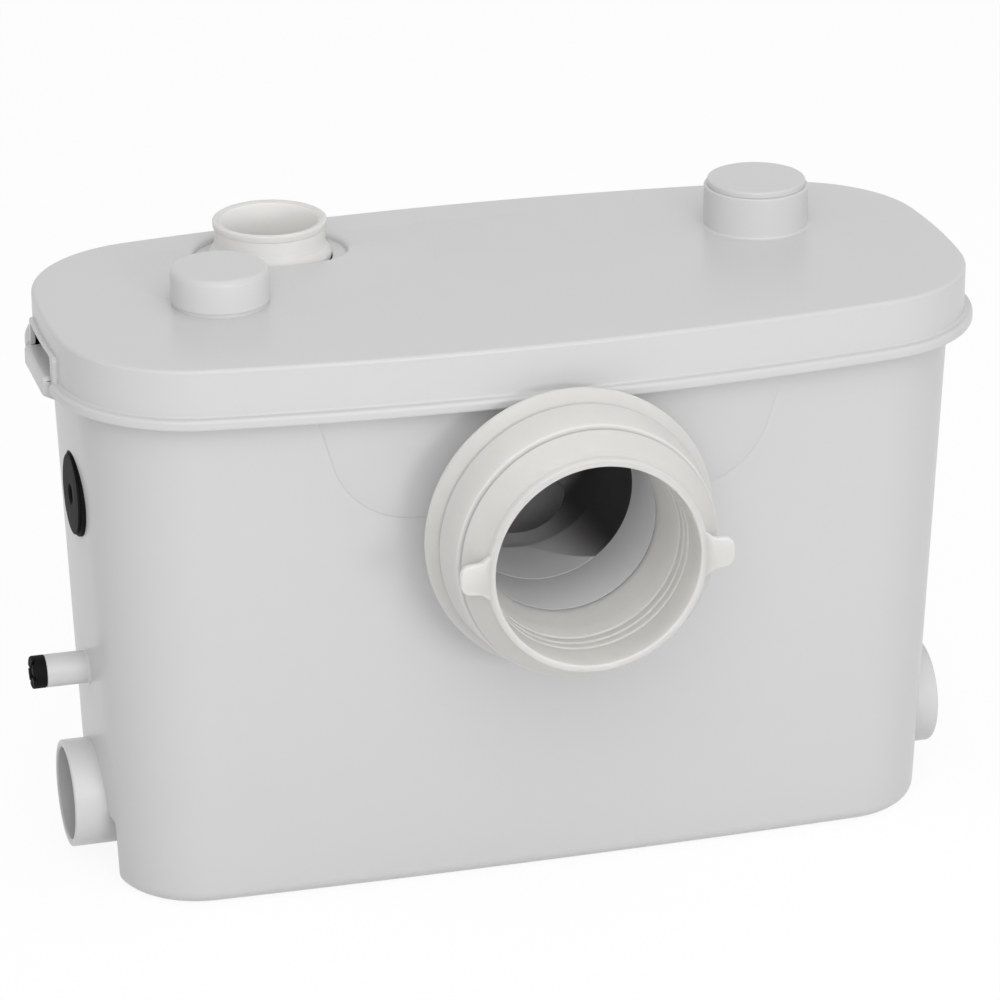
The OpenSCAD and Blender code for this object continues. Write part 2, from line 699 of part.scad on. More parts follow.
module valve_flap() {
  z0 = valve_z + valve_floor + seat_gap;
  color(rubber_black) difference() {
    union() {
      translate([out_x, valve_seat_y, 0]) post(z0, z0 + 2, valve_flap_r);
      block([valve_axis[0], valve_seat_y - valve_knuckle, z0], [out_x, valve_seat_y + valve_knuckle, z0 + 2]);
      along_y(valve_seat_y - valve_knuckle, valve_seat_y + valve_knuckle, 2.4, valve_axis[0], valve_axis[2]);
    }
    along_y(valve_seat_y - 9, valve_seat_y + 9, 1.2 + running, valve_axis[0], valve_axis[2]);
  }
}
module valve_pin() {
  y = valve_seat_y;
  color(steel) along_y(y - valve_pin_half, y + valve_pin_half, 1.2, valve_axis[0], valve_axis[2]);
}
module discharge_pipe() {
  x1 = pump_x - volute_r + 8;
  color(plastic_grey) difference() {
    union() {
      along_x(out_x, x1, pipe_r, pipe_y, pipe_z);
      translate([out_x, pipe_y, pipe_z]) sphere(r = pipe_r);
      translate([out_x, pipe_y, 0]) post(pipe_z, valve_z - rest_gap, pipe_r);
    }
    along_x(out_x, x1 + lap, pipe_in, pipe_y, pipe_z);
    translate([out_x, pipe_y, pipe_z]) sphere(r = pipe_in);
    translate([out_x, pipe_y, 0]) post(pipe_z, valve_z + lap, pipe_in);
  }
}

// Side inlet flaps

module side_flap() {
  x1 = flap_seat - seat_gap;
  x0 = x1 - flap_t;
  color(rubber_black) difference() {
    union() {
      along_x(x0, x1, flap_r, 0, side_z);
      block([x0, -8, side_z], [x1, 8, flap_axis_z]);
      along_y(-flap_knuckle_w / 2, flap_knuckle_w / 2, flap_knuckle_r, flap_axis_x, flap_axis_z);
    }
    along_y(-flap_knuckle_w, flap_knuckle_w, flap_pin_d / 2 + running, flap_axis_x, flap_axis_z);
  }
}
module left_flap() {
  mirror([1, 0, 0]) side_flap();
}
module right_flap() {
  side_flap();
}
module flap_pins() {
  y = ear_at + ear_w / 2;
  color(steel) both_ends() along_y(-y, y, flap_pin_d / 2, flap_axis_x, flap_axis_z);
}

// Fittings on the left end

module cable_grommet() {
  x = -grommet_x;
  back = x + grommet_sink - rest_gap;
  throat = grommet_d / 2 - 4 - slip;
  color(rubber_black) translate([0, -grommet_y, 0]) difference() {
    union() {
      along_x(x - 0.6, back, grommet_d / 2, 0, grommet_z);
      along_x(x - 2.6, x, grommet_d / 2 - 1.2, 0, grommet_z);
      along_x(x, x + tank_wall + 3, throat, 0, grommet_z);
    }
    along_x(x - 10, x + 20, grommet_hole_d / 2, 0, grommet_z);
  }
}
module condensate_plug() {
  x = -spigot_reach;
  plug_r = spigot_d / 2 - 2.4 - slip;
  color(rubber_black) difference() {
    union() {
      along_x(x - plug_len, x, spigot_d / 2, -spigot_y, spigot_z);
      along_x(x - lap, x + 10, plug_r, -spigot_y, spigot_z);
    }
    for (a = [0 : 60 : 120]) translate([x - plug_len, -spigot_y, spigot_z]) rotate([a, 0, 0])
      block([-lap, -1, -spigot_d], [1.5, 1, spigot_d]);
  }
}

// Grinder, pump and motor

module grinder_basket() {
  ri = basket_r - basket_wall;
  color(plastic_black) difference() {
    union() {
      at_pump() difference() {
        post(basket_z, basket_top, basket_r);
        post(basket_z + basket_floor, basket_top + lap, ri);
      }
      at_pump() tube(basket_top - 4, basket_top, basket_r + 3, ri);
    }
    at_pump() {
      post(basket_z - lap, basket_z + basket_floor + lap, shaft_r + 1.5);
      around(basket_slots, ri - lap, 180 / basket_slots)
        block([0, -2.5, basket_z + 8], [basket_wall + 2 * lap, 2.5, basket_z + 34]);
      around(8, ri - 18) post(basket_z - lap, basket_z + basket_floor + lap, 5);
    }
    chute(chute_r, 10);
  }
}
cutter_z = basket_z + basket_floor + 12;
cutter_h = 14;
blade_t = 3;
blade_z = cutter_z + 4;
blade_reach = basket_r - basket_wall - 3;
module cutter_hub() {
  color(steel) at_pump() difference() {
    union() {
      post(cutter_z, cutter_z + cutter_h, 13);
      post(blade_z + blade_t, blade_z + blade_t + 4, 19);
    }
    post(cutter_z - lap, cutter_z + cutter_h + lap, shaft_r + running);
    around(3, 8) block([0, -5.2, blade_z - rest_gap], [big, 5.2, blade_z + blade_t + rest_gap]);
  }
}
module cutter_blades() {
  color(steel) at_pump() around(3, 0) translate([0, 0, blade_z]) linear_extrude(blade_t)
    polygon([[8.2, -5], [blade_reach - 8, -5], [blade_reach, 1], [blade_reach - 3, 5], [8.2, 5]]);
}
outlet_r = pipe_r + slip + 3;
module pump_volute() {
  color(plastic_black) difference() {
    union() {
      at_pump() post(volute_z, volute_top, volute_r);
      intersection() {
        along_x(pump_x - volute_r - 2, pump_x, outlet_r, pipe_y, pipe_z);
        block([-big, -big, 0], [big, big, volute_top]);
      }
      at_pump() around(3, volute_r - 7, 15) post(tank_floor, volute_z + lap, 5);
    }
    at_pump() {
      post(volute_z + 4, volute_top + lap, volute_r - 5);
      post(volute_z - lap, volute_z + 5, 15);
    }
    along_x(pump_x - volute_r - 3, pump_x - volute_r + 8, pipe_r + slip, pipe_y, pipe_z);
    along_x(pump_x - volute_r, pump_x, pipe_in, pipe_y, pipe_z);
  }
}
module volute_cover() {
  color(plastic_black) at_pump() difference() {
    union() {
      post(volute_top, volute_top + cover_t, volute_r + 2);
      post(volute_top - 2, volute_top + lap, volute_r - 5 - slip);
    }
    post(volute_top - 3, volute_top + cover_t + lap, shaft_r + 1);
    around(6, volute_r - 2.5, 20) post(volute_top - lap, volute_top + cover_t + lap, 1.6);
  }
}
vane_n = 6;
vane_t = 2.2;
vane_sweep = 55;
function vane_edge(t) = [for (i = [0 : 8])
  let (r = mix(9, impeller_r - 0.6, i / 8), a = vane_sweep * i / 8 + t / r * 57.3) r * [cos(a), sin(a)]];
function reversed(l) = [for (i = [len(l) - 1 : -1 : 0]) l[i]];
impeller_z = volute_z + 6;
impeller_h = 17;
module impeller() {
  color(plastic_black) at_pump() difference() {
    union() {
      post(impeller_z + impeller_h - 3, impeller_z + impeller_h, impeller_r);
      post(impeller_z + 4, impeller_z + impeller_h - 2, 11);
      around(vane_n, 0) translate([0, 0, impeller_z + 4])
        linear_extrude(impeller_h - 6) polygon(concat(vane_edge(0), reversed(vane_edge(vane_t))));
    }
    post(impeller_z - lap, impeller_z + impeller_h + lap, shaft_r + running);
  }
}
module motor_housing() {
  ri = motor_r - motor_wall;
  color(plastic_black) at_pump() difference() {
    union() {
      post(motor_z, motor_top, motor_r);
      post(motor_z, motor_z + 5, basket_r + 3);
      around(12, motor_r - lap, 15) block([0, -1.2, motor_z + 5], [2.4 + lap, 1.2, motor_top - 8]);
    }
    post(motor_z + motor_floor, motor_top + lap, ri);
    post(bearing_low_z, motor_z + motor_floor + lap, bearing_r + running);
    post(motor_z - lap, bearing_low_z + lap, 11);
  }
}
module motor_cap() {
  color(plastic_black) at_pump() difference() {
    union() {
      post(motor_top, motor_top + motor_cap_t, motor_r + 1.5);
      post(bearing_top_z - 2, motor_top + lap, bearing_r + 4);
      translate([-motor_r / 2, 0, 0]) post(motor_top + motor_cap_t - lap, motor_top + motor_cap_t + 3, 6);
    }
    post(bearing_top_z - 2 - lap, bearing_top_z + bearing_w, bearing_r + running);
    around(4, motor_r - 3, 45) post(motor_top - lap, motor_top + motor_cap_t + lap, 1.6);
  }
}
stator_in = rotor_r + air_gap;
module stator_core() {
  slot_n = 12;
  color(steel) at_pump() difference() {
    post(stator_z, stator_z + stator_h, stator_r);
    post(stator_z - lap, stator_z + stator_h + lap, stator_in);
    around(slot_n, stator_in + 6) post(stator_z - lap, stator_z + stator_h + lap, 2.6);
  }
}
module stator_windings() {
  rm = (stator_in + stator_r) / 2;
  ring_line = [for (t = [0 : 22.5 : 337.5]) [rm + 6 * cos(t), 5.5 * sin(t)]];
  color(copper) at_pump() for (z = [stator_z - 5.6, stator_z + stator_h + 5.6])
    translate([0, 0, z]) rotate_extrude() polygon(ring_line);
}
module rotor_core() {
  color(steel) at_pump() tube(stator_z, stator_z + stator_h, rotor_r, shaft_r + running);
}
module rotor_shaft() {
  color(steel) at_pump() {
    post(impeller_z + 1, bearing_top_z + bearing_w - 0.5, shaft_r);
  }
}
module bearing(z) {
  color(steel) at_pump() rotate_extrude() polygon([
    [shaft_r + running, z], [shaft_r + 3.4, z], [shaft_r + 3.8, z + 0.6], [bearing_r - 3.8, z + 0.6],
    [bearing_r - 3.4, z], [bearing_r, z], [bearing_r, z + bearing_w], [bearing_r - 3.4, z + bearing_w],
    [bearing_r - 3.8, z + bearing_w - 0.6], [shaft_r + 3.8, z + bearing_w - 0.6],
    [shaft_r + 3.4, z + bearing_w], [shaft_r + running, z + bearing_w]]);
}
module upper_bearing() {
  bearing(bearing_top_z);
}
module lower_bearing() {
  bearing(bearing_low_z);
}
module shaft_seal() {
  color(rubber_black) at_pump() tube(motor_z, bearing_low_z, 11 - slip, shaft_r + running);
}
module screw(z, l, r) {
  post(z - l, z, r);
  post(z, z + 2.2, 2 * r);
}
module motor_screws() {
  color(steel) at_pump() around(4, motor_r - 3, 45) screw(motor_top + motor_cap_t, motor_cap_t - slip, 1.5);
}
module pump_screws() {
  color(steel) at_pump() around(6, volute_r - 2.5, 20) post(volute_top + slip, volute_top + cover_t, 1.5);
}

// Pressure switch and control box

box_y = air_y + 7;
box_x = air_x - 11;
box_top = box_z + box_h;
diaphragm_t = 1.5;
bridge_z = box_z + box_wall + 6;
switch_z = bridge_z + 11;
module air_chamber() {
  z1 = box_z - diaphragm_t;
  color(plastic_grey) translate([air_x, air_y, 0]) difference() {
    union() {
      post(tank_floor, z1, air_r);
      post(z1 - 6, z1, air_r + 4);
    }
    post(tank_floor - lap, z1 + lap, air_r - air_wall);
    around(4, 0) block([0, -6, tank_floor - lap], [big, 6, tank_floor + 14]);
  }
}
module switch_diaphragm() {
  color(rubber_black) translate([air_x, air_y, 0]) post(box_z - diaphragm_t, box_z, air_r + 3);
}
module switch_plunger() {
  color(shell_white) translate([air_x, air_y, 0]) {
    post(box_z + rest_gap, box_z + box_wall, 12);
    post(box_z + box_wall - lap, switch_z - plunger_travel - 1, 4);
  }
}
module at_box_corners() {
  translate([box_x, box_y, 0]) for (x = [-1, 1], y = [-1, 1])
    translate([x * (box_l / 2 - box_corner_r), y * (box_d / 2 - box_corner_r), 0]) children();
}
module control_box() {
  w = box_wall;
  color(plastic_grey) difference() {
    union() {
      translate([box_x, box_y, 0]) difference() {
        rounded_plate(box_l, box_d, box_corner_r, box_z, box_top);
        rounded_plate(box_l - 2 * w, box_d - 2 * w, box_corner_r - w, box_z + w, box_top + lap);
      }
      at_box_corners() post(box_z + lap, box_top, box_corner_r - 1);
      translate([air_x, air_y, 0]) {
        block([-22, -6, bridge_z], [22, 6, bridge_z + 4]);
        for (x = [-1, 1]) translate([x * 20, 0, 0]) block([-2, -6, box_z + lap], [2, 6, bridge_z + 1]);
        for (x = [-1, 1]) translate([x * 8, 0, 0]) block([-2, -3.5, bridge_z + 3], [2, 3.5, switch_z]);
      }
    }
    translate([air_x, air_y, 0]) {
      post(box_z - lap, box_z + box_wall + lap, 16);
      post(bridge_z - lap, bridge_z + 5, 4 + running);
    }
    at_box_corners() post(box_top - 12, box_top + lap, 1.5);
  }
}
module microswitch() {
  color(plastic_black) translate([air_x, air_y, 0]) {
    block([-10, -3.2, switch_z], [10, 3.2, switch_z + 10]);
    post(switch_z - 0.8, switch_z + lap, 1.6);
    for (x = [-7, 0, 7]) block([x - 1.6, -0.4, switch_z + 9], [x + 1.6, 0.4, switch_z + 16]);
  }
}
module control_cover() {
  color(plastic_grey) difference() {
    translate([box_x, box_y, 0]) rounded_plate(box_l + 2, box_d + 2, box_corner_r + 1, box_top, box_top + 3);
    at_box_corners() post(box_top - lap, box_top + 4, 1.7);
  }
}
module control_screws() {
  color(steel) at_box_corners() screw(box_top + 3, 13, 1.45);
}
capacitor_r = 15;
module run_capacitor() {
  y = box_y + box_d / 2 - box_wall - capacitor_r - 0.5;
  z = box_z + box_wall + capacitor_r + seat_gap;
  color(shell_white) along_x(box_x - 38, box_x + 38, capacitor_r, y, z);
}
module terminal_block() {
  x1 = box_x - box_l / 2 + box_wall;
  z0 = box_z + box_wall;
  color(shell_white) difference() {
    block([x1 + 6, box_y - 21, z0], [x1 + 20, box_y + 2, z0 + 12]);
    for (y = [-17, -9.5, -2]) translate([x1 + 13, box_y + y, 0]) post(z0 + 4, z0 + 13, 2);
  }
}

tank();
lid();
lid_gasket();
vent_cap();
charcoal_filter();
blanking_cap();
wc_connector();
inlet_hopper();
discharge_sleeve();
valve_body();
valve_flap();
valve_pin();
discharge_pipe();
left_flap();
right_flap();
flap_pins();
cable_grommet();
condensate_plug();
grinder_basket();
cutter_hub();
cutter_blades();
pump_volute();
volute_cover();
impeller();
motor_housing();
motor_cap();
stator_core();
stator_windings();
rotor_core();
rotor_shaft();
upper_bearing();
lower_bearing();
shaft_seal();
motor_screws();
pump_screws();
air_chamber();
switch_diaphragm();
switch_plunger();
microswitch();
control_box();
control_cover();
control_screws();
run_capacitor();
terminal_block();
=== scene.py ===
import json
import math
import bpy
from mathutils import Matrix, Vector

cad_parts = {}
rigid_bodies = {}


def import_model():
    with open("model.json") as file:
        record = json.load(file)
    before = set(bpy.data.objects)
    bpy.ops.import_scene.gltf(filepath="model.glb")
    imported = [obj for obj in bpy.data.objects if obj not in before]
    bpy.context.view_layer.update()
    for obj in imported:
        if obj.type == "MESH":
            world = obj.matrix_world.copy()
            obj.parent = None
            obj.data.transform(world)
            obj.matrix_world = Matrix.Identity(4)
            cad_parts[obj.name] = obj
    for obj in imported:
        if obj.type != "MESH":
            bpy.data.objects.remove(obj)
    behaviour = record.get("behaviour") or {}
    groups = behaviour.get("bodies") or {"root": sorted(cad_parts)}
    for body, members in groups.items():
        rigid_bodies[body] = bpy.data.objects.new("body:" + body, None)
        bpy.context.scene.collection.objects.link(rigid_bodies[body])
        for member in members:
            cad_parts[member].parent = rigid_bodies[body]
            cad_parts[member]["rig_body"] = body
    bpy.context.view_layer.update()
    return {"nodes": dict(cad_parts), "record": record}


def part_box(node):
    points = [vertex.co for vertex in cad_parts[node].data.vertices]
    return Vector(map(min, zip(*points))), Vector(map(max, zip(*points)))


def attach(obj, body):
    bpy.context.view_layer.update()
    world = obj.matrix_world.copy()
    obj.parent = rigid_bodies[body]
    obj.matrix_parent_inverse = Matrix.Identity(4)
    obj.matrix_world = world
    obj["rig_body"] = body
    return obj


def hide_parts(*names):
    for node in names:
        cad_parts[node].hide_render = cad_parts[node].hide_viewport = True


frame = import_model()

from types import SimpleNamespace

import bmesh
import bpy
import numpy as np
from bpy.props import FloatProperty, FloatVectorProperty, PointerProperty
from mathutils import Matrix, Vector

bl_info = {
    "name": "Macerator pump looks",
    "version": (1, 0, 0),
    "blender": (4, 5, 0),
    "location": "View3D > Sidebar > Pump",
    "description": "Shells, rubber parts, materials and studio of a macerator pump, round its CAD model",
    "category": "Object",
}

MM = 0.001
MERGE = 1e-6  # metres within which two points are one
FAR = 300.0  # millimetres, past every wall
BODY = "tank_body"
LID = "lid_body"
WHITE = "shell_white"
CREAM = "rubber_cream"
BLACK = "rubber_black"


def length(name, description, default):
    """A size in metres that the sidebar shows in the scene's unit."""
    return FloatProperty(name=name, description=description, default=default, unit="LENGTH", precision=4)


def colour(name, description, default):
    """A linear RGB colour."""
    return FloatVectorProperty(name=name, description=description, default=default,
                               size=3, min=0, max=1, subtype="COLOR")


class PumpSizes(bpy.types.PropertyGroup):
    """Sizes of the visible pieces; the lid's edge and the clip frames are finer than in the CAD source"""

    lid_w: length("Lid width", "Width over the lid's bead", 0.434)
    lid_d: length("Lid depth", "Depth over the lid's bead", 0.204)
    lid_side_r: length("Lid side bow", "Bow radius of the lid's long sides", 1.2)
    lid_end_r: length("Lid end bow", "Bow radius of the lid's short ends", 0.354)
    lid_corner_r: length("Lid corner", "Plan corner radius of the lid", 0.066)
    lid_h: length("Lid height", "From the bead's underside to the top", 0.027)
    lid_wall: length("Lid wall", "Wall of the lid", 0.003)
    bead_out: length("Bead reach", "How far the bead stands out of the skirt", 0.0039)
    bead_h: length("Bead height", "Height of the bead", 0.005)
    lid_edge_r: length("Lid edge", "Radius of the lid's top edge", 0.0018)
    tank_h: length("Tank height", "Floor to the bead's underside", 0.2425)
    tank_inset: length("Tank inset", "Tank wall behind the bead's edge", 0.0113)
    base_w: length("Base width", "Width of the tank at the floor", 0.3916)
    base_d: length("Base depth", "Depth of the tank at the floor", 0.14)
    base_side_r: length("Base bow", "Bow radius of the sides at the floor", 4.86)
    base_corner_r: length("Base corner", "Plan corner radius at the floor", 0.0407)
    base_edge_r: length("Base edge", "Radius of the bottom edge", 0.0068)
    tank_wall: length("Tank wall", "Wall of the tank and its stubs", 0.0035)
    tank_floor: length("Tank floor", "Thickness of the tank's floor", 0.004)
    rim_h: length("Rim height", "Rim that stands up inside the lid", 0.015)
    pad_out: length("Pad step", "How far the front pad stands proud", 0.0006)
    wc_z: length("Connector height", "Height of the pan connector's axis", 0.1868)
    wc_hole_r: length("Connector hole", "Radius of the tank's hole behind the pan connector", 0.044)
    wc_stub_r: length("Inlet stub radius", "Outer radius of the stub in the pan connector", 0.0455)
    wc_stub_end: length("Inlet stub reach", "Middle of the tank to that stub's mouth", 0.104)
    wc_bore_r: length("Connector bore", "Radius of the pan connector's mouth", 0.0467)
    wc_end: length("Connector reach", "Middle of the tank to the pan connector's mouth", 0.157)
    side_z: length("Side inlet height", "Height of the side inlets' axis", 0.033)
    side_r: length("Side inlet radius", "Outer radius of a side inlet", 0.025)
    side_hole_r: length("Side inlet hole", "Radius of the tank's hole behind a side inlet", 0.0232)
    side_reach: length("Side inlet reach", "Middle of the tank to a side inlet's mouth", 0.211)
    recess_depth: length("Recess depth", "Depth of the recess under a side inlet", 0.013)
    recess_half: length("Recess half length", "Half length of that recess", 0.036)
    grommet_y: length("Grommet along", "Place of the cable grommet along the depth", -0.011)
    grommet_z: length("Grommet height", "Height of the cable grommet's axis", 0.187)
    grommet_hole_r: length("Grommet hole", "Radius of the tank's hole for the grommet", 0.0168)
    grommet_flange_r: length("Grommet flange", "Radius of the grommet's flange", 0.0196)
    spigot_y: length("Spigot along", "Place of the condensate spigot along the depth", -0.006)
    spigot_z: length("Spigot height", "Height of the condensate spigot's axis", 0.099)
    spigot_r: length("Spigot radius", "Outer radius of the condensate spigot", 0.00765)
    spigot_bore_r: length("Spigot bore", "Radius of the condensate spigot's bore", 0.00525)
    spigot_end: length("Spigot reach", "Middle of the tank to the spigot's mouth", 0.2195)
    chamber_x: length("Air chamber across", "Place of the air chamber's foot ring across the tank", -0.12)
    chamber_y: length("Air chamber along", "Place of that ring along the depth", -0.032)
    clip_w: length("Clip window", "Width of a lid clip's window", 0.0465)
    clip_h: length("Clip height", "Height of a lid clip's window", 0.0155)
    clip_frame: length("Clip frame", "Width of the raised frame beside a window", 0.0052)
    out_x: length("Discharge across", "Place of the discharge sleeve across the lid", -0.095)
    out_y: length("Discharge along", "Place of the discharge sleeve along the depth", 0.0575)
    dish_r: length("Dish radius", "Radius of the slot round the discharge sleeve", 0.0289)
    dish_half: length("Dish straight", "Half the straight of that slot", 0.007)
    vent_x: length("Vent across", "Place of the vent cap across the lid", -0.1326)
    vent_y: length("Vent along", "Place of the vent cap along the depth", -0.005)
    vent_r: length("Vent radius", "Radius of the vent cap", 0.0223)
    vent_h: length("Vent height", "Height of the vent cap", 0.0157)
    vent_seat_h: length("Vent seat", "Height of the seat under the vent cap", 0.0018)
    spare_x: length("Spare inlet across", "Place of the spare inlet across the lid", 0.1327)
    spare_y: length("Spare inlet along", "Place of the spare inlet along the depth", 0.0315)
    spare_r: length("Spare inlet radius", "Outer radius of the spare inlet", 0.0245)
    spare_bore_r: length("Spare inlet bore", "Radius of the spare inlet's bore", 0.0215)
    spare_h: length("Spare inlet height", "Height of the spare inlet over the lid", 0.0195)


class PumpLooks(bpy.types.PropertyGroup):
    """Colours and light of the pump"""

    shell: colour("Shell", "White moulded shell", (0.66, 0.66, 0.663))
    cream: colour("Cream rubber", "Pan connector and sleeve", (0.7, 0.693, 0.674))
    grey: colour("Grey plastic", "Ducts and boxes inside", (0.6, 0.595, 0.605))
    # The duct is painted lighter than the grey plastic it is made of, as painted light in the dim duct
    duct: colour("Duct", "Way from the pan connector to the grinder", (0.9, 0.895, 0.905))
    black: colour("Black plastic", "Pump, basket and motor housings", (0.022, 0.022, 0.024))
    dark_rubber: colour("Black rubber", "Grommet, plug, flaps and seals", (0.007, 0.007, 0.0075))
    steel: colour("Steel", "Shaft, cutters, pins and screws", (0.6, 0.61, 0.63))
    core: colour("Core steel", "Stator and rotor sheets", (0.33, 0.33, 0.35))
    copper: colour("Copper", "Varnished windings", (0.5, 0.21, 0.08))
    charcoal: colour("Charcoal", "Vent filter", (0.018, 0.018, 0.018))
    backdrop: colour("Backdrop", "Floor and background", (1.0, 1.0, 1.0))
    fill: FloatProperty(name="Fill light", description="Strength of the light from all round",
                        default=0.56, min=0)


def sizes():
    """The sidebar's sizes in millimetres, with the heights that follow from them."""
    group = bpy.context.scene.pump_sizes
    s = SimpleNamespace(**{name: getattr(group, name) / MM for name in PumpSizes.__annotations__})
    s.rim = s.tank_h + s.rim_h
    s.top = s.tank_h + s.lid_h
    s.under = s.top - s.lid_wall
    return s


# Outlines and meshes, in millimetres until an object is made


def arc(centre, radius, start, end, steps):
    t = np.linspace(start, end, steps, endpoint=False)
    return np.stack([centre[0] + radius * np.cos(t), centre[1] + radius * np.sin(t)], 1)


def outline(a, b, rs, re, rc, side_steps=22, end_steps=12, corner_steps=18):
    """Eight arcs that run into each other: two bowed sides, two bowed ends and four corners."""
    s, e = np.array([0, b - rs]), np.array([a - re, 0])
    d, p, q = np.linalg.norm(e - s), rs - rc, re - rc
    k = (p * p - q * q + d * d) / (2 * d)
    h = math.sqrt(max(p * p - k * k, 0))
    u = (e - s) / d
    c = s + k * u + h * np.array([u[1], -u[0]])
    t_end, t_side = math.atan2(c[1], c[0] - e[0]), math.atan2(c[1] - s[1], c[0])
    quarter = np.concatenate([
        arc(e, re, 0, t_end, end_steps), arc(c, rc, t_end, t_side, corner_steps),
        arc(s, rs, t_side, math.pi / 2, side_steps), [[0, b]]])
    flip = quarter[:0:-1]
    return np.concatenate([quarter[:-1], flip * [-1, 1], -quarter[:-1], flip * [1, -1]])


def mix(a, b, t):
    return a + (b - a) * t


def lid_line(s, inset):
    """Outline of the lid, a distance inside its bead."""
    return outline(s.lid_w / 2 - inset, s.lid_d / 2 - inset, s.lid_side_r - inset,
                   s.lid_end_r - inset, s.lid_corner_r - inset)


def tank_plan(s, z):
    """Half width, half depth, side bow and corner radius of the tank at a height."""
    t = (s.tank_h - z) / s.tank_h
    half_w = mix(s.lid_w / 2 - s.tank_inset, s.base_w / 2, t)
    half_d = mix(s.lid_d / 2 - s.tank_inset, s.base_d / 2, t)
    bow = 1 / mix(1 / (s.lid_side_r - s.tank_inset), 1 / s.base_side_r, t)
    return half_w, half_d, bow, mix(s.lid_corner_r - s.tank_inset, s.base_corner_r, t)


def tank_line(s, z, inset):
    """Outline of the tank at a height, a distance inside its outer face."""
    half_w, half_d, bow, corner = tank_plan(s, z)
    end = s.lid_end_r - s.tank_inset
    return outline(half_w - inset, half_d - inset, bow - inset, end - inset, corner - inset)


def front_y(s, x, z):
    """Outer face of the tank's front wall."""
    _, half_d, bow, _ = tank_plan(s, z)
    return -(half_d - bow + math.sqrt(bow * bow - x * x))


def half_width(s, z):
    return tank_plan(s, z)[0]


def recess_face(s):
    return s.base_w / 2 - s.recess_depth


def stub_seat(s):
    """Inner end of a side inlet, just inside the recess's wall."""
    return recess_face(s) - s.tank_wall - 2


def grommet_face(s):
    """Outer face of the tank's end wall behind the grommet."""
    return half_width(s, s.grommet_z) - s.grommet_y ** 2 / (2 * (s.lid_end_r - s.tank_inset))


def ring(line, z):
    return np.column_stack([line, np.full(len(line), z)])


def turns(steps):
    """Equal angles round a full turn."""
    return np.linspace(0, 2 * math.pi, steps, endpoint=False)


def unit(rows):
    """Each row at length one."""
    return rows / np.maximum(np.linalg.norm(rows, axis=1, keepdims=True), 1e-9)


def rounded(points, steps=6):
    """A closed line whose corners (x, y, radius) become arcs."""
    out, n = [], len(points)
    for i in range(n):
        p = np.array(points[i][:2], float)
        r = points[i][2] if len(points[i]) > 2 else 0
        if r <= 0:
            out.append(p)
            continue
        v1, v2 = (np.array(points[j % n][:2], float) - p for j in (i - 1, i + 1))
        l1, l2 = np.linalg.norm(v1), np.linalg.norm(v2)
        v1, v2 = v1 / l1, v2 / l2
        half = math.acos(max(-1, min(1, float(v1 @ v2)))) / 2
        if abs(half - math.pi / 2) < 1e-3:
            out.append(p)
            continue
        t = min(r / math.tan(half), 0.49 * l1, 0.49 * l2)
        middle = (v1 + v2) / np.linalg.norm(v1 + v2)
        centre = p + middle * t / math.cos(half)
        a, b = p + v1 * t - centre, p + v2 * t - centre
        t0 = math.atan2(a[1], a[0])
        turn = (math.atan2(b[1], b[0]) - t0 + math.pi) % (2 * math.pi) - math.pi
        radius = np.linalg.norm(a)
        for k in range(steps + 1):
            w = t0 + turn * k / steps
            out.append(centre + radius * np.array([math.cos(w), math.sin(w)]))
    return np.array(out)


def dense(line, step):
    """A closed line with no stretch longer than a step."""
    out = []
    for a, b in zip(line, np.roll(line, -1, 0)):
        n = max(1, math.ceil(np.linalg.norm(b - a) / step))
        out += [mix(a, b, k / n) for k in range(n)]
    return np.array(out)


def loft(rings, closed=False):
    """Vertices and faces through rings of equal length, with flat ends unless it closes on itself."""
    n, m = len(rings[0]), len(rings)
    faces = []
    for i in range(m if closed else m - 1):
        low, high = i * n, ((i + 1) % m) * n
        for j in range(n):
            k = (j + 1) % n
            faces.append((low + j, low + k, high + k, high + j))
    if not closed:
        faces.append(tuple(range(n - 1, -1, -1)))
        faces.append(tuple((m - 1) * n + j for j in range(n)))
    return np.concatenate(rings), faces


def lathe(profile, steps=144):
    """A profile of (radius, height) turned about Z; points on the axis become poles."""
    points, starts, faces, angles = [], [], [], turns(steps)
    for r, z in np.array(profile, float):
        off_axis = r > 1e-6
        starts.append((len(points), off_axis))
        if off_axis:
            points += [(r * math.cos(t), r * math.sin(t), z) for t in angles]
        else:
            points.append((0, 0, z))
    for (a, a_open), (b, b_open) in zip(starts, starts[1:] + starts[:1]):
        for j in range(steps) if a_open or b_open else ():
            k = (j + 1) % steps
            faces.append(((a + j, a + k) if a_open else (a,)) + ((b + k, b + j) if b_open else (b,)))
    return np.array(points), faces


def rod(radius, start=0.0, steps=96):
    """A plain round tool for cutting holes, from a start to past every wall."""
    t = turns(steps)
    circle = np.column_stack([radius * np.cos(t), radius * np.sin(t)])
    return loft([ring(circle, start), ring(circle, FAR)])


def extrude(line, z0, z1, edge=0.0, steps=4):
    """A flat outline as a plate with rolled edges."""
    line = np.array(line, float)
    x, y = line[:, 0], line[:, 1]
    if np.sum(x * np.roll(y, -1) - np.roll(x, -1) * y) < 0:
        line = line[::-1]
    if edge <= 0:
        return loft([ring(line, z0), ring(line, z1)])
    way = unit(unit(np.roll(line, -1, 0) - line) + unit(line - np.roll(line, 1, 0)))
    inward = np.column_stack([-way[:, 1], way[:, 0]])
    turn = [math.pi / 2 * k / steps for k in range(steps + 1)]
    low = [ring(line + inward * edge * (1 - math.sin(t)), z0 + edge * (1 - math.cos(t))) for t in turn]
    high = [ring(line + inward * edge * (1 - math.cos(t)), z1 - edge * (1 - math.sin(t))) for t in turn]
    return loft(low + high)


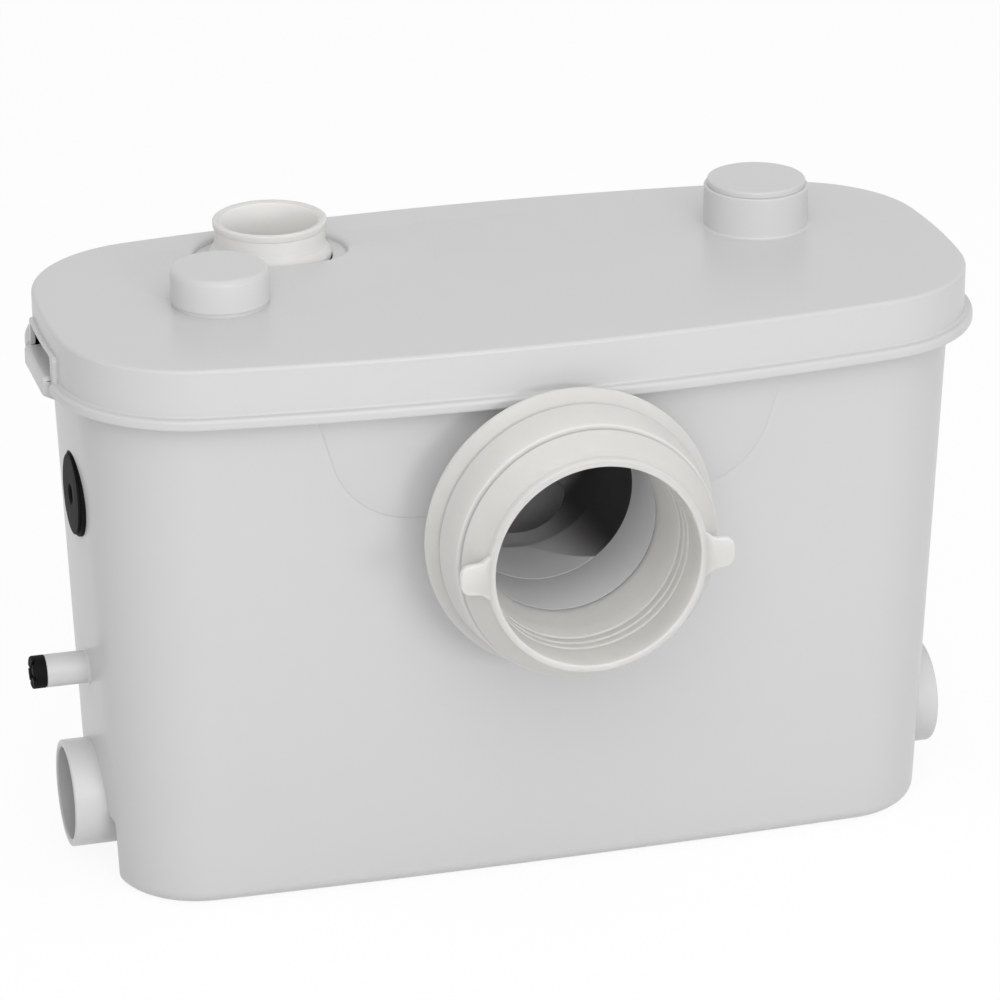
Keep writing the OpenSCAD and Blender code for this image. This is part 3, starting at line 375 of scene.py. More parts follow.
def box(low, high, edge=0.0):
    """A block between two corners, with rolled edges."""
    plan = [(low[0], low[1]), (high[0], low[1]), (high[0], high[1]), (low[0], high[1])]
    line = rounded([(x, y, edge) for x, y in plan], 4)
    return extrude(line, low[2], high[2], min(edge, (high[2] - low[2]) / 2.1) if edge else 0, 3)


def joined(*meshes):
    points, faces, base = [], [], 0
    for v, f in meshes:
        points.append(np.asarray(v, float))
        faces += [tuple(i + base for i in face) for face in f]
        base += len(v)
    return np.concatenate(points), faces


def placed(mesh, matrix):
    v, f = mesh
    m = np.array(matrix, float)
    return np.asarray(v, float) @ m[:3, :3].T + m[:3, 3], f


def moved(mesh, x, y):
    return placed(mesh, Matrix.Translation((x, y, 0)))


def spun(mesh, degrees):
    return placed(mesh, Matrix.Rotation(math.radians(degrees), 4, "Z"))


def to_front(mesh, z):
    """Local Z becomes -Y."""
    return placed(mesh, Matrix.Translation((0, 0, z)) @ Matrix.Rotation(math.pi / 2, 4, "X"))


def to_left(mesh, y, z):
    """Local Z becomes -X."""
    return placed(mesh, Matrix.Translation((0, y, z)) @ Matrix.Rotation(-math.pi / 2, 4, "Y"))


def to_right(mesh, z):
    """Local Z becomes +X."""
    return placed(mesh, Matrix.Translation((0, 0, z)) @ Matrix.Rotation(math.pi / 2, 4, "Y"))


def to_end(mesh):
    """Local X becomes Y, Y becomes Z and Z becomes X."""
    v, f = mesh
    return np.asarray(v, float)[:, [2, 0, 1]], f


def unchanged(mesh):
    return mesh


def mirrored(mesh):
    v, f = mesh
    return np.asarray(v, float) * [-1, 1, 1], [tuple(reversed(face)) for face in f]


SIDES = {"right": unchanged, "left": mirrored}


def bare(name, mesh):
    """A mesh object in metres at the origin, with its normals turned outwards."""
    points, faces = mesh
    data = bpy.data.meshes.new(name)
    data.from_pydata((np.asarray(points, float) * MM).tolist(), [], faces)
    work = bmesh.new()
    work.from_mesh(data)
    bmesh.ops.remove_doubles(work, verts=work.verts, dist=MERGE)
    bmesh.ops.recalc_face_normals(work, faces=work.faces)
    work.to_mesh(data)
    work.free()
    obj = bpy.data.objects.new(name, data)
    bpy.context.scene.collection.objects.link(obj)
    return obj


def settle(obj):
    """Turns an object's modifiers into its mesh."""
    bpy.context.view_layer.update()
    made = bpy.data.meshes.new_from_object(obj.evaluated_get(bpy.context.evaluated_depsgraph_get()))
    obj.modifiers.clear()
    old, obj.data = obj.data, made
    bpy.data.meshes.remove(old)
    return obj


def discard(obj):
    """Deletes an object with its mesh."""
    data = obj.data
    bpy.data.objects.remove(obj)
    bpy.data.meshes.remove(data)


def taken(obj):
    """An object's mesh in millimetres; the object itself goes."""
    points = [np.array(v.co) / MM for v in obj.data.vertices]
    faces = [tuple(f.vertices) for f in obj.data.polygons]
    discard(obj)
    return points, faces


def combine(obj, mesh, operation="DIFFERENCE"):
    """Cuts, adds or intersects a mesh, and leaves one clean object."""
    tool = bare("tool", mesh)
    step = obj.modifiers.new("combine", "BOOLEAN")
    step.operation, step.solver, step.object = operation, "EXACT", tool
    settle(obj)
    discard(tool)
    if not obj.data.polygons:
        raise RuntimeError(f"{obj.name} came out empty")
    return obj


def paint_shading(obj, axis, centre, rule):
    """Notes painted light and shade on each point, lighter or darker by its distance from an axis and its
    place along it.
    """
    across = [i for i in range(3) if i != axis]
    note = obj.data.attributes.new("tone", "FLOAT", "POINT")
    for vertex, row in zip(obj.data.vertices, note.data):
        row.value = rule(math.dist([vertex.co[i] / MM for i in across], centre), vertex.co[axis] / MM)
    return obj


def piece(obj, body, slot, *nodes, finish=None, angle=32):
    """Shades a finished object, gives it its slot's material or another finish, and lets it ride its body."""
    obj.data.shade_smooth()
    obj.data.set_sharp_from_angle(angle=math.radians(angle))
    obj.data.materials.clear()
    obj.data.materials.append(look(finish or slot))
    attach(obj, body)
    if nodes:
        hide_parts(*nodes)
    return obj


# Nodes and materials


class Wire:
    """A node's output that takes part in sums."""

    def __init__(self, graph, socket):
        self.graph, self.socket = graph, socket

    def _sum(self, operation, first, second):
        return self.graph.node("ShaderNodeMath", {"operation": operation}, {0: first, 1: second})

    def __add__(self, other):
        return self._sum("ADD", self, other)

    __radd__ = __add__

    def __sub__(self, other):
        return self._sum("SUBTRACT", self, other)

    def __rsub__(self, other):
        return self._sum("SUBTRACT", other, self)

    def __mul__(self, other):
        return self._sum("MULTIPLY", self, other)

    __rmul__ = __mul__

    def either(self, other):
        return self._sum("MAXIMUM", self, other)

    def step(self, low, high):
        """0 below low and 1 above high, eased between."""
        return self.graph.node("ShaderNodeMapRange", {"interpolation_type": "SMOOTHSTEP"},
                               {"Value": self, "From Min": low, "From Max": high})


class Graph:
    """The nodes of one tree."""

    def __init__(self, tree):
        self.tree = tree
        tree.nodes.clear()

    def node(self, kind, settings=None, values=None, out=0):
        made = self.tree.nodes.new(kind)
        for key, value in (settings or {}).items():
            setattr(made, key, value)
        for key, value in (values or {}).items():
            if isinstance(value, Wire):
                self.tree.links.new(value.socket, made.inputs[key])
            else:
                made.inputs[key].default_value = value
        return Wire(self, made.outputs[out])

    def end(self, kind, wire):
        """Ends the tree in an output node."""
        self.tree.links.new(wire.socket, self.tree.nodes.new(kind).inputs[0])

    def seen(self):
        """1 for rays from the camera, off a gloss or through a clear piece, and 0 for the rest."""
        rays = ("Is Camera Ray", "Is Glossy Ray", "Is Transmission Ray")
        camera, gloss, clear = (self.node("ShaderNodeLightPath", out=ray) for ray in rays)
        return camera.either(gloss).either(clear)


class Finish(Graph):
    """The nodes of one material, laid out on Object coordinates."""

    SOCKETS = {"base": "Base Color", "rough": "Roughness", "metal": "Metallic", "normal": "Normal",
               "ior": "IOR", "spec": "Specular IOR Level",
               "coat": "Coat Weight", "coat_rough": "Coat Roughness", "soft": "Subsurface Weight",
               "soft_depth": "Subsurface Scale", "soft_tint": "Subsurface Radius"}

    def __init__(self, name):
        self.material = bpy.data.materials.new(name)
        self.material.use_nodes = True
        super().__init__(self.material.node_tree)
        self.place = self.node("ShaderNodeTexCoord", out="Object")

    def noise(self, scale, detail=3.0, rough=0.5, place=None):
        return self.node("ShaderNodeTexNoise", {}, {
            "Vector": place or self.place, "Scale": scale, "Detail": detail, "Roughness": rough})

    def tone(self):
        # painted light and shade noted on the piece's points
        return self.node("ShaderNodeAttribute", {"attribute_name": "tone"}, out="Fac")

    def part(self, axis):
        """One coordinate of the place."""
        return self.node("ShaderNodeSeparateXYZ", {}, {0: self.place}, out=axis)

    def stretched(self, x, y, z):
        return self.node("ShaderNodeMapping", {}, {"Vector": self.place, "Scale": (x, y, z)})

    def tint(self, rgb, amount):
        """A colour made lighter or darker by a factor."""
        grey = self.node("ShaderNodeCombineColor", {}, {0: amount, 1: amount, 2: amount})
        return self.node("ShaderNodeMix", {"data_type": "RGBA", "blend_type": "MULTIPLY"},
                         {0: 1.0, 6: (*rgb, 1), 7: grey}, out=2)

    def blend(self, factor, first, second):
        return self.node("ShaderNodeMix", {"data_type": "RGBA"}, {0: factor, 6: first, 7: second}, out=2)

    def bump(self, height, distance, strength):
        return self.node("ShaderNodeBump", {}, {"Height": height, "Distance": distance, "Strength": strength})

    def show(self, shader):
        self.end("ShaderNodeOutputMaterial", shader)
        return self.material

    def surface(self, **values):
        named = {self.SOCKETS[key]: value for key, value in values.items()}
        return self.show(self.node("ShaderNodeBsdfPrincipled", {}, named))


def moulded(name, rgb, rough, grain, lift=0.0, spec=0.5):
    """Moulded plastic: faint mottle, soft flow lines, fine grain and uneven gloss, plus painted light and
    shade where a piece notes it.
    """
    g = Finish(name)
    mottle = g.noise(7, 4, 0.55)
    flow = g.noise(3, 3, 0.6, g.stretched(1.0, 1.0, 7.0))
    grain_fine = g.noise(2300, 2, 0.6)
    scuff = g.noise(45, 6, 0.7).step(0.45, 0.75)
    # painted light and shade: the noted lightening or darkening, scaled by the gain, goes into the colour
    shade = 0.98 + mottle * 0.022 + flow * 0.018 + g.tone() * lift
    height = grain_fine * 0.8 + g.noise(320, 3) * 0.2
    return g.surface(base=g.tint(rgb, shade), rough=rough + (scuff * 0.05 + (mottle - 0.5) * 0.05) * grain,
                     normal=g.bump(height, 0.00002 * grain, 0.5), ior=1.46, spec=spec)


def rubbery(name, rgb, rough, spec=0.5, soft=0.0, lift=0.0):
    """Moulded rubber: dull, finely pitted, with a slight bloom, plus painted light and shade where a piece
    notes it.
    """
    g = Finish(name)
    bloom = g.noise(26, 5, 0.6).step(0.35, 0.8)
    pits = g.noise(1500, 3, 0.7)
    # painted light and shade: the noted lightening or darkening, scaled by the gain, goes into the colour
    shade = 0.965 + bloom * 0.05 + (g.noise(240, 2) - 0.5) * 0.02 + g.tone() * lift
    return g.surface(base=g.tint(rgb, shade), rough=rough + bloom * 0.08 + (pits - 0.5) * 0.06,
                     normal=g.bump(pits, 0.00004, 0.5), ior=1.5, spec=spec,
                     soft=soft, soft_depth=0.01, soft_tint=(1.0, 0.96, 0.9))


def turned_metal(name, rgb):
    """Turned steel: fine rings about the vertical, with stains."""
    g = Finish(name)
    lines = g.noise(180, 4, 0.7, g.stretched(1.0, 1.0, 40.0))
    stain = g.noise(60, 5, 0.6).step(0.5, 0.8)
    return g.surface(base=g.tint(rgb, 0.9 + lines * 0.15 - stain * 0.12), metal=1.0,
                     rough=0.22 + lines * 0.15 + stain * 0.1, normal=g.bump(lines, 0.00002, 0.6))


def sheet_stack(name, rgb):
    """Stacked core sheets, half a millimetre each."""
    g = Finish(name)
    gap = g.node("ShaderNodeMath", {"operation": "PINGPONG"}, {0: g.part(2) * 1000, 1: 0.25}) * 4
    rust = g.noise(70, 5, 0.65).step(0.55, 0.8)
    base = g.blend(rust * 0.5, g.tint(rgb, 0.75 + gap * 0.25), (0.16, 0.09, 0.06, 1))
    return g.surface(base=base, metal=1.0, rough=0.4 + rust * 0.3, normal=g.bump(gap, 0.00008, 0.7))


def wound(name, rgb):
    """Varnished copper wire wound round the motor's axis."""
    g = Finish(name)
    low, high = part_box("rotor_shaft")
    axis = ((low[0] + high[0]) / 2, (low[1] + high[1]) / 2, 0)
    centred = g.node("ShaderNodeVectorMath", {"operation": "SUBTRACT"}, {0: g.place, 1: axis})
    wires = g.node("ShaderNodeTexWave", {"wave_type": "RINGS", "rings_direction": "Z"},
                   {"Vector": centred, "Scale": 320.0, "Distortion": 1.2, "Detail": 2.0}, out=1)
    varnish = g.noise(50, 4).step(0.4, 0.8)
    return g.surface(base=g.tint(rgb, 0.7 + wires * 0.4 - varnish * 0.1), metal=1.0,
                     rough=0.28 + varnish * 0.2, coat=varnish, coat_rough=0.2,
                     normal=g.bump(wires, 0.0002, 0.8))


def granular(name, rgb):
    """Charcoal grains in foam."""
    g = Finish(name)
    grains = g.node("ShaderNodeTexVoronoi", {}, {"Vector": g.place, "Scale": 700.0})
    return g.surface(base=g.tint(rgb, 0.6 + grains * 0.8), rough=0.8 + grains * 0.15,
                     normal=g.bump(grains, 0.0004, 0.8))


def duct_with_painted_shade(name, rgb):
    """Duct with painted light and shade: lighter than its grey plastic, with random stains, its far end
    painted dark grey and the side towards the grinder painted black.
    """
    g = Finish(name)
    x, y = g.part(0), g.part(1)
    stain = g.noise(22, 5, 0.6)
    # painted shade: past a slanted line, where the chamber begins, the duct is painted dark
    slant, step = (y + x * 1.8).step(-0.025, -0.023), y.step(-0.031, -0.03)
    far = slant + step - slant * step
    # painted shadow: the chamber's side towards the grinder, away from the light, is painted black
    side = x.step(0.008, 0.034) * (1 - y.step(0.0, 0.03))
    dark = g.blend(side, g.tint((0.75, 0.74, 0.745), 0.85 + stain * 0.3), (0.02, 0.02, 0.02, 1))
    return g.surface(base=g.blend(far, g.tint(rgb, 0.96 + stain * 0.06), dark), rough=0.42 + stain * 0.15,
                     normal=g.bump(g.noise(900, 3), 0.00003, 0.5), ior=1.46)


# Maker, colour and settings of each finish
FINISHES = {
    # The white shell and the cream rubber take the painted light and shade noted on their pieces, at the gain
    # given here
    WHITE: (moulded, "shell", {"rough": 0.3, "grain": 0.25, "lift": 0.28, "spec": 0.35}),
    CREAM: (rubbery, "cream", {"rough": 0.5, "soft": 1.0, "lift": 0.17}),
    BLACK: (rubbery, "dark_rubber", {"rough": 0.6, "spec": 0.08}),
    "plastic_grey": (moulded, "grey", {"rough": 0.42, "grain": 1.5}),
    "hopper_grey": (duct_with_painted_shade, "duct", {}),
    "plastic_black": (moulded, "black", {"rough": 0.45, "grain": 2.5}),
    "steel": (turned_metal, "steel", {}),
    "core_steel": (sheet_stack, "core", {}),
    "copper": (wound, "copper", {}),
    "charcoal": (granular, "charcoal", {}),
}


def look(name):
    """The material of a finish, made once; the CAD's own material of that name steps aside."""
    found = bpy.data.materials.get(name)
    if found is None or "pump_look" not in found:
        if found is not None:
            found.name = name + "_cad"
        make, tint, settings = FINISHES[name]
        found = make(name, getattr(bpy.context.scene.pump_looks, tint), **settings)
        found["pump_look"] = True
    return found


class PUMP_OT_tank(bpy.types.Operator):
    """Make the drafted tank with its stubs, recesses, catches, spigot and front pad"""

    bl_idname = "pump.tank"
    bl_label = "Tank"

    def execute(self, context):
        s = sizes()
        shell = self.shell(s)
        for flip in SIDES.values():
            self.recess(s, shell, flip)
        combine(shell, to_front(rod(s.wc_hole_r), s.wc_z))
        clearance, seat_depth = 0.2, 1.6
        seat = rod(s.grommet_flange_r + clearance, grommet_face(s) - seat_depth)
        for tool in (rod(s.grommet_hole_r), seat):
            combine(shell, to_left(tool, s.grommet_y, s.grommet_z))
        combine(shell, to_left(rod(s.spigot_bore_r, steps=64), s.spigot_y, s.spigot_z))
        piece(shell, BODY, WHITE, "tank")
        for made in (self.stubs(s), self.fittings(s), self.pad(s)):
            piece(made, BODY, WHITE)
        return {"FINISHED"}

    def outside(self, s):
        """Rings from the rolled bottom edge up to the lid's bead."""
        edge = s.base_edge_r
        rings = []
        for t in np.linspace(math.pi / 2, 0, 9):
            z, inset = edge * (1 - math.sin(t)), edge * (1 - math.cos(t))
            rings.append(ring(tank_line(s, z, inset), z))
        return rings + [ring(tank_line(s, z, 0), z) for z in np.linspace(edge, s.tank_h, 15)[1:]]

    def shell(self, s):
        """The walls, up to a rounded rim and down the inside to the floor."""
        wall, edge, floor = s.tank_wall, s.base_edge_r, s.tank_floor
        lip = [(0.8, 0), (0.2, 0.2), (0, 0.8), (0, wall - 0.8), (0.2, wall - 0.2), (0.8, wall)]
        rings = self.outside(s)
        rings += [ring(tank_line(s, s.rim, inset), s.rim - drop) for drop, inset in lip]
        rings += [ring(tank_line(s, z, wall), z) for z in np.linspace(s.tank_h, floor + edge, 12)]
        rings += [ring(tank_line(s, floor, wall + edge / 2), floor)]
        return bare("tank_shell", loft(rings))

    def recess(self, s, shell, flip):
        """Walled recess under a side inlet, and the inlet's hole."""
        wall, half, deep = s.tank_wall, s.recess_half, recess_face(s)
        low, high = (deep - wall, -half - wall, s.tank_floor / 2), (FAR, half + wall, s.side_z + wall)
        liner = bare("liner", flip(box(low, high)))
        combine(shell, taken(combine(liner, loft(self.outside(s)), "INTERSECT")), "UNION")
        below, corner = -5, 3
        mouth = rounded([(-half, below), (half, below), (half, s.side_z, corner), (-half, s.side_z, corner)])
        combine(shell, flip(to_end(extrude(mouth, deep, FAR))))
        combine(shell, flip(to_right(rod(s.side_hole_r), s.side_z)))

    def stubs(self, s):
        """The two side inlets, with painted light on the outside and painted shade inside the bore."""
        outer, bore, seat = s.side_r, s.side_r - s.tank_wall, stub_seat(s)
        line = [(bore, seat, 0.4), (outer, seat, 0.4), (outer, s.side_reach, 0.9), (bore, s.side_reach, 0.9)]
        stub = to_right(lathe(rounded(line)), s.side_z)
        made = bare("side_stubs", joined(stub, mirrored(stub)))
        # painted light on the outer face, painted shade in the bore
        return paint_shading(made, 0, (0, s.side_z), lambda far, x: 0.25 if far > outer - 1 else -0.5)

    def fittings(self, s):
        """Catches, hinge ears, condensate spigot, inlet stub and the air chamber's foot ring."""
        ends = [self.catch(s), *self.hinge_ears(s)]
        parts = ends + [mirrored(mesh) for mesh in ends]
        wall_x, mouth, bore, r = half_width(s, s.spigot_z), s.spigot_end, s.spigot_bore_r, s.spigot_r
        root = r + 0.85
        spigot = [(bore, wall_x - 4), (root, wall_x - 4), (root, wall_x - 0.2), (r, wall_x + 0.9, 0.8),
                  (r, mouth, 0.5), (bore, mouth, 0.5)]
        parts.append(to_left(lathe(rounded(spigot)), s.spigot_y, s.spigot_z))
        start, mouth, r, bore = 68, s.wc_stub_end, s.wc_stub_r, s.wc_stub_r - s.tank_wall
        stub = [(bore, start, 0.6), (r, start, 0.6), (r, mouth, 0.8), (bore, mouth, 1.0)]
        parts.append(to_front(lathe(rounded(stub)), s.wc_z))
        foot = [(22.2, 3), (25.2, 3), (25.2, 10, 0.6), (22.2, 10, 0.6)]
        parts.append(moved(lathe(rounded(foot)), s.chamber_x, s.chamber_y))

        def tone(far, y):
            """Painted light in the inlet stub's bore, up to its rounded lip."""
            return float(far < bore + 1 and start - 8 < -y < mouth - 0.8)

        return paint_shading(bare("tank_fittings", joined(*parts)), 1, (0, s.wc_z), tone)

    def hinge_ears(self, s):
        """Two ears over the right inlet that hold its flap's pin."""
        seat, over = stub_seat(s), s.side_z + s.side_r
        axis_x, axis_z, thick, reach, edge = seat - 3.8, over + 4.5, 4, 3.5, 0.6
        for middle in (-12.2, 12.2):
            y0, y1 = middle - thick / 2, middle + thick / 2
            yield box((seat, y0, over - 5), (seat + 6, y1, axis_z + reach), edge)
            yield box((axis_x - reach, y0, axis_z - reach), (seat + 1, y1, axis_z + reach), edge)

    def catch(self, s):
        """Block that stands in the lid's clip window, with a ledge on top and a slanted underside."""
        skirt, base, wall_x = s.lid_w / 2 - s.bead_out, s.tank_h, half_width(s, s.tank_h) - 1.7
        out, ledge = skirt + 4.9, base + 6
        line = [(wall_x, base - 10, 0.3), (out, base - 3, 2.4), (out, ledge, 2.0), (wall_x, ledge, 0.3)]
        half = s.clip_w / 2 - 1.2
        block = placed(extrude(rounded(line), -half, half, 2.2), Matrix.Rotation(math.pi / 2, 4, "X"))
        web = box((wall_x, -half, ledge - 2), (skirt - s.lid_wall - 0.5, half, s.rim - 1), 0.5)
        return joined(block, web)

    def pad(self, s):
        """Thin shield under the lid that stands just proud of the front wall."""
        top = s.tank_h + 3
        low, wide, narrow, corner = top - 57, 109.9, 93, 46
        shield = rounded([(-wide, top), (-narrow, low, corner), (narrow, low, corner), (wide, top)], 24)
        middle = np.array([0, top - 20])
        away = dense(shield, 6) - middle
        edge = ((0.3, -1.5), (0, -0.6), (0.35, 0), (0.8, 0.75), (1.3, 1))
        rolled = [(away - unit(away) * shrink, rise) for shrink, rise in edge]
        face = rolled[-1][0]
        rolled += [(face * scale, 1) for scale in (0.85, 0.6, 0.35, 0.12)]
        rings = []
        for line, rise in rolled:
            places = middle + line
            rings.append(np.array([(x, front_y(s, x, z) - s.pad_out * rise, z) for x, z in places]))
        return combine(bare("front_pad", loft(rings)), to_front(rod(s.wc_hole_r), s.wc_z))


class PUMP_OT_lid(bpy.types.Operator):
    """Make the lid with its bead, clip windows, dish for the discharge, vent seat and spare inlet"""

    bl_idname = "pump.lid"
    bl_label = "Lid"

    vent_hole_r = 10

    def execute(self, context):
        s = sizes()
        shell, window, trim = self.shell(s), self.window(s), self.trim(s)
        for cut in (window, mirrored(window), trim, mirrored(trim), self.dish(s)):
            combine(shell, cut)
        combine(shell, moved(rod(s.spare_bore_r, steps=128), s.spare_x, s.spare_y))
        combine(shell, moved(rod(self.vent_hole_r), s.vent_x, s.vent_y))
        piece(shell, LID, WHITE, "lid")
        for made in (self.rib(s), self.fittings(s)):
            piece(made, LID, WHITE)
        for side, flip in SIDES.items():
            plate = bare("clip_frame_" + side, flip(self.clip_frame(s)))
            piece(combine(plate, flip(window)), LID, WHITE)
        return {"FINISHED"}

    def shell(self, s):
        """The bead, skirt and top."""
        base, bead, out = s.tank_h, s.tank_h + s.bead_h, s.bead_out
        inner = out + s.lid_wall
        profile = rounded([(inner + 2, s.under), (inner, s.under - 2), (inner, base, 0.4), (0, base, 1.2),
                           (0, bead, 1.6), (out, bead, 1.0), (out, s.top, s.lid_edge_r), (out + 20, s.top)])
        return bare("lid_shell", loft([ring(lid_line(s, inset), z) for inset, z in profile]))

    def window(self, s):
        """Cut for a clip's window in the right end."""
        half, low, high, corner = s.clip_w / 2, s.tank_h - 5, s.tank_h + s.clip_h, 2
        line = rounded([(-half, low), (half, low), (half, high, corner), (-half, high, corner)])
        return to_end(extrude(line, s.lid_w / 2 - (s.bead_out + s.lid_wall) - 4, FAR))

    def trim(self, s):
        """Cut that takes the bead off where a clip's frame stands."""
        span = s.clip_w / 2 + s.clip_frame
        low = (s.lid_w / 2 - s.bead_out + 1.2, -span, s.tank_h - 5)
        return box(low, (FAR, span, s.tank_h + s.bead_h + 1))

    def stadium(self, s, radius, z):
        """Ring of the dish: two half circles with a straight between."""
        t = turns(160)
        stretch = np.where(np.cos(t) > 0, s.dish_half, -s.dish_half)
        line = np.column_stack([s.out_x + radius * np.cos(t) + stretch, s.out_y + radius * np.sin(t)])
        return ring(line, z)

    def dish(self, s):
        """Cut round the discharge sleeve, with a rim that rolls down into it."""
        r, top = s.dish_r, s.top
        rolled = [(r, s.under), (r, top - 2.2), (r + 0.3, top - 1.2), (r + 1.1, top - 0.4),
                  (r + 2.7, top + 0.02), (r + 2.7, top + 9)]
        return loft([self.stadium(s, radius, z) for radius, z in rolled])

    def swell(self, s):
        """Soft swelling of the lid in front of the dish."""
        inner, outer, height, sunk = s.dish_r + 2.1, 80, 2.6, 2.4
        line = [(s.dish_r + 0.3, 0, sunk), (s.dish_r + 0.3, 0.8, 0.5), (s.dish_r + 0.8, 0.95, 0.15)]
        for r in np.linspace(inner, outer, 16):
            line.append((r, math.cos(math.pi / 2 * (r - inner) / (outer - inner)) ** 2, 0.04))
        line.append((outer, 0, sunk))
        sections = []
        for turn in np.linspace(math.pi, 2 * math.pi, 80):
            rise, shift = math.sin(turn) ** 2, math.copysign(s.dish_half, math.cos(turn))
            least = (inner + 0.8) * (1 - 2 * rise)
            section = []
            for r, part, sink in line:
                x, y = max(r, least) * math.cos(turn), max(r, least) * math.sin(turn)
                section.append((s.out_x + shift + x, s.out_y + y, s.top + height * part * rise - sink))
            sections.append(np.array(section))
        return loft(sections)

    def rib(self, s):
        """Strip that presses the gasket on the tank's rim."""
        outer, inner = tank_line(s, s.rim, 0), tank_line(s, s.rim, s.tank_wall)
        low, high = s.rim + 4.5, s.under + 0.5
        strip = [ring(outer, low), ring(outer, high), ring(inner, high), ring(inner, low)]
        return combine(bare("lid_rib", loft(strip, True)), moved(rod(s.dish_r), s.out_x, s.out_y))

    def fittings(self, s):
        """Spare inlet, the dish's floor, the swelling and the vent's seat."""
        r, bore, top, under, up = s.spare_r, s.spare_bore_r, s.top, s.under, s.top + s.spare_h
        stub = rounded([(bore, under + 0.2), (r - 0.5, under + 0.2), (r - 0.3, top - 0.6),
                        (r + 2.2, top - 0.05), (r, top + 0.05, 2.0), (r, up, 0.8), (bore, up, 0.6)], 8)
        r, bore, up = s.vent_r - 0.6, self.vent_hole_r, top + s.vent_seat_h
        seat = rounded([(bore, under + 0.5), (r - 0.7, under + 0.5), (r, top - 0.5),
                        (r, up, 0.4), (bore, up, 0.4)])
        t = turns(160)
        hole = np.column_stack([s.out_x + s.dish_r * np.cos(t), s.out_y + s.dish_r * np.sin(t)])
        low, wide = under - 2.5, s.dish_r + 2
        floor = [self.stadium(s, wide, low), self.stadium(s, wide, under), ring(hole, under), ring(hole, low)]
        return bare("lid_fittings", joined(moved(lathe(stub), s.spare_x, s.spare_y), loft(floor, True),
                                           self.swell(s), moved(lathe(seat), s.vent_x, s.vent_y)))

    def clip_frame(self, s):
        """Raised plate for a clip window, bowed with the lid's end."""
        base, face = s.tank_h, s.lid_w / 2 - s.bead_out
        span, high = s.clip_w / 2 + s.clip_frame, base + s.clip_h + 1.8
        line = [(span, base, 1.4), (span, high, 3), (-span, high, 3), (-span, base, 1.4)]
        points, faces = to_end(extrude(dense(rounded(line), 3), face - 2.4, face + 2.1, 1.1))
        points[:, 0] -= points[:, 1] ** 2 / (2 * (s.lid_end_r - s.bead_out))
        return points, faces


class PUMP_OT_caps(bpy.types.Operator):
    """Make the vent cap and the blanking cap"""

    bl_idname = "pump.caps"
    bl_label = "Caps"

    def execute(self, context):
        s = sizes()
        piece(self.vent(s), LID, WHITE, "vent_cap")
        piece(self.blank(s), LID, WHITE, "blanking_cap")
        return {"FINISHED"}

    def vent(self, s):
        """Round cap with notches under its edge, with painted light on its side."""
        low, r, wall = s.top + s.vent_seat_h, s.vent_r, 2.2
        high = low + s.vent_h
        line = [(0, high - wall), (r - wall, high - wall, 0.5), (r - wall, low, 0.3), (r, low, 0.5),
                (r, high, 3), (0, high)]
        made = bare("vent_cap_shell", moved(lathe(rounded(line, 8)), s.vent_x, s.vent_y))
        notch = box((r - 4, -3, low - 1), (r + 2, 3, low + 1.2))
        for turn in (30, 90, 150):
            combine(made, moved(spun(notch, turn), s.vent_x, s.vent_y))
        # painted light on the side of the cap
        return paint_shading(made, 2, (s.vent_x, s.vent_y), lambda far, up: 0.22 if far > r - 0.2 else 0)

    def blank(self, s):
        """Push-in cap of the spare inlet."""
        z, inner, plug, flange = s.top + s.spare_h, 18.8, s.spare_bore_r - 0.2, 23
        line = [(0, z + 0.4), (inner, z + 0.4, 0.6), (inner, z - 12, 0.6), (plug, z - 12, 0.8), (plug, z),
                (flange, z, 0.3), (flange, z + 3, 0.9), (0, z + 3)]
        return bare("blanking_cap_shell", moved(lathe(rounded(line)), s.spare_x, s.spare_y))


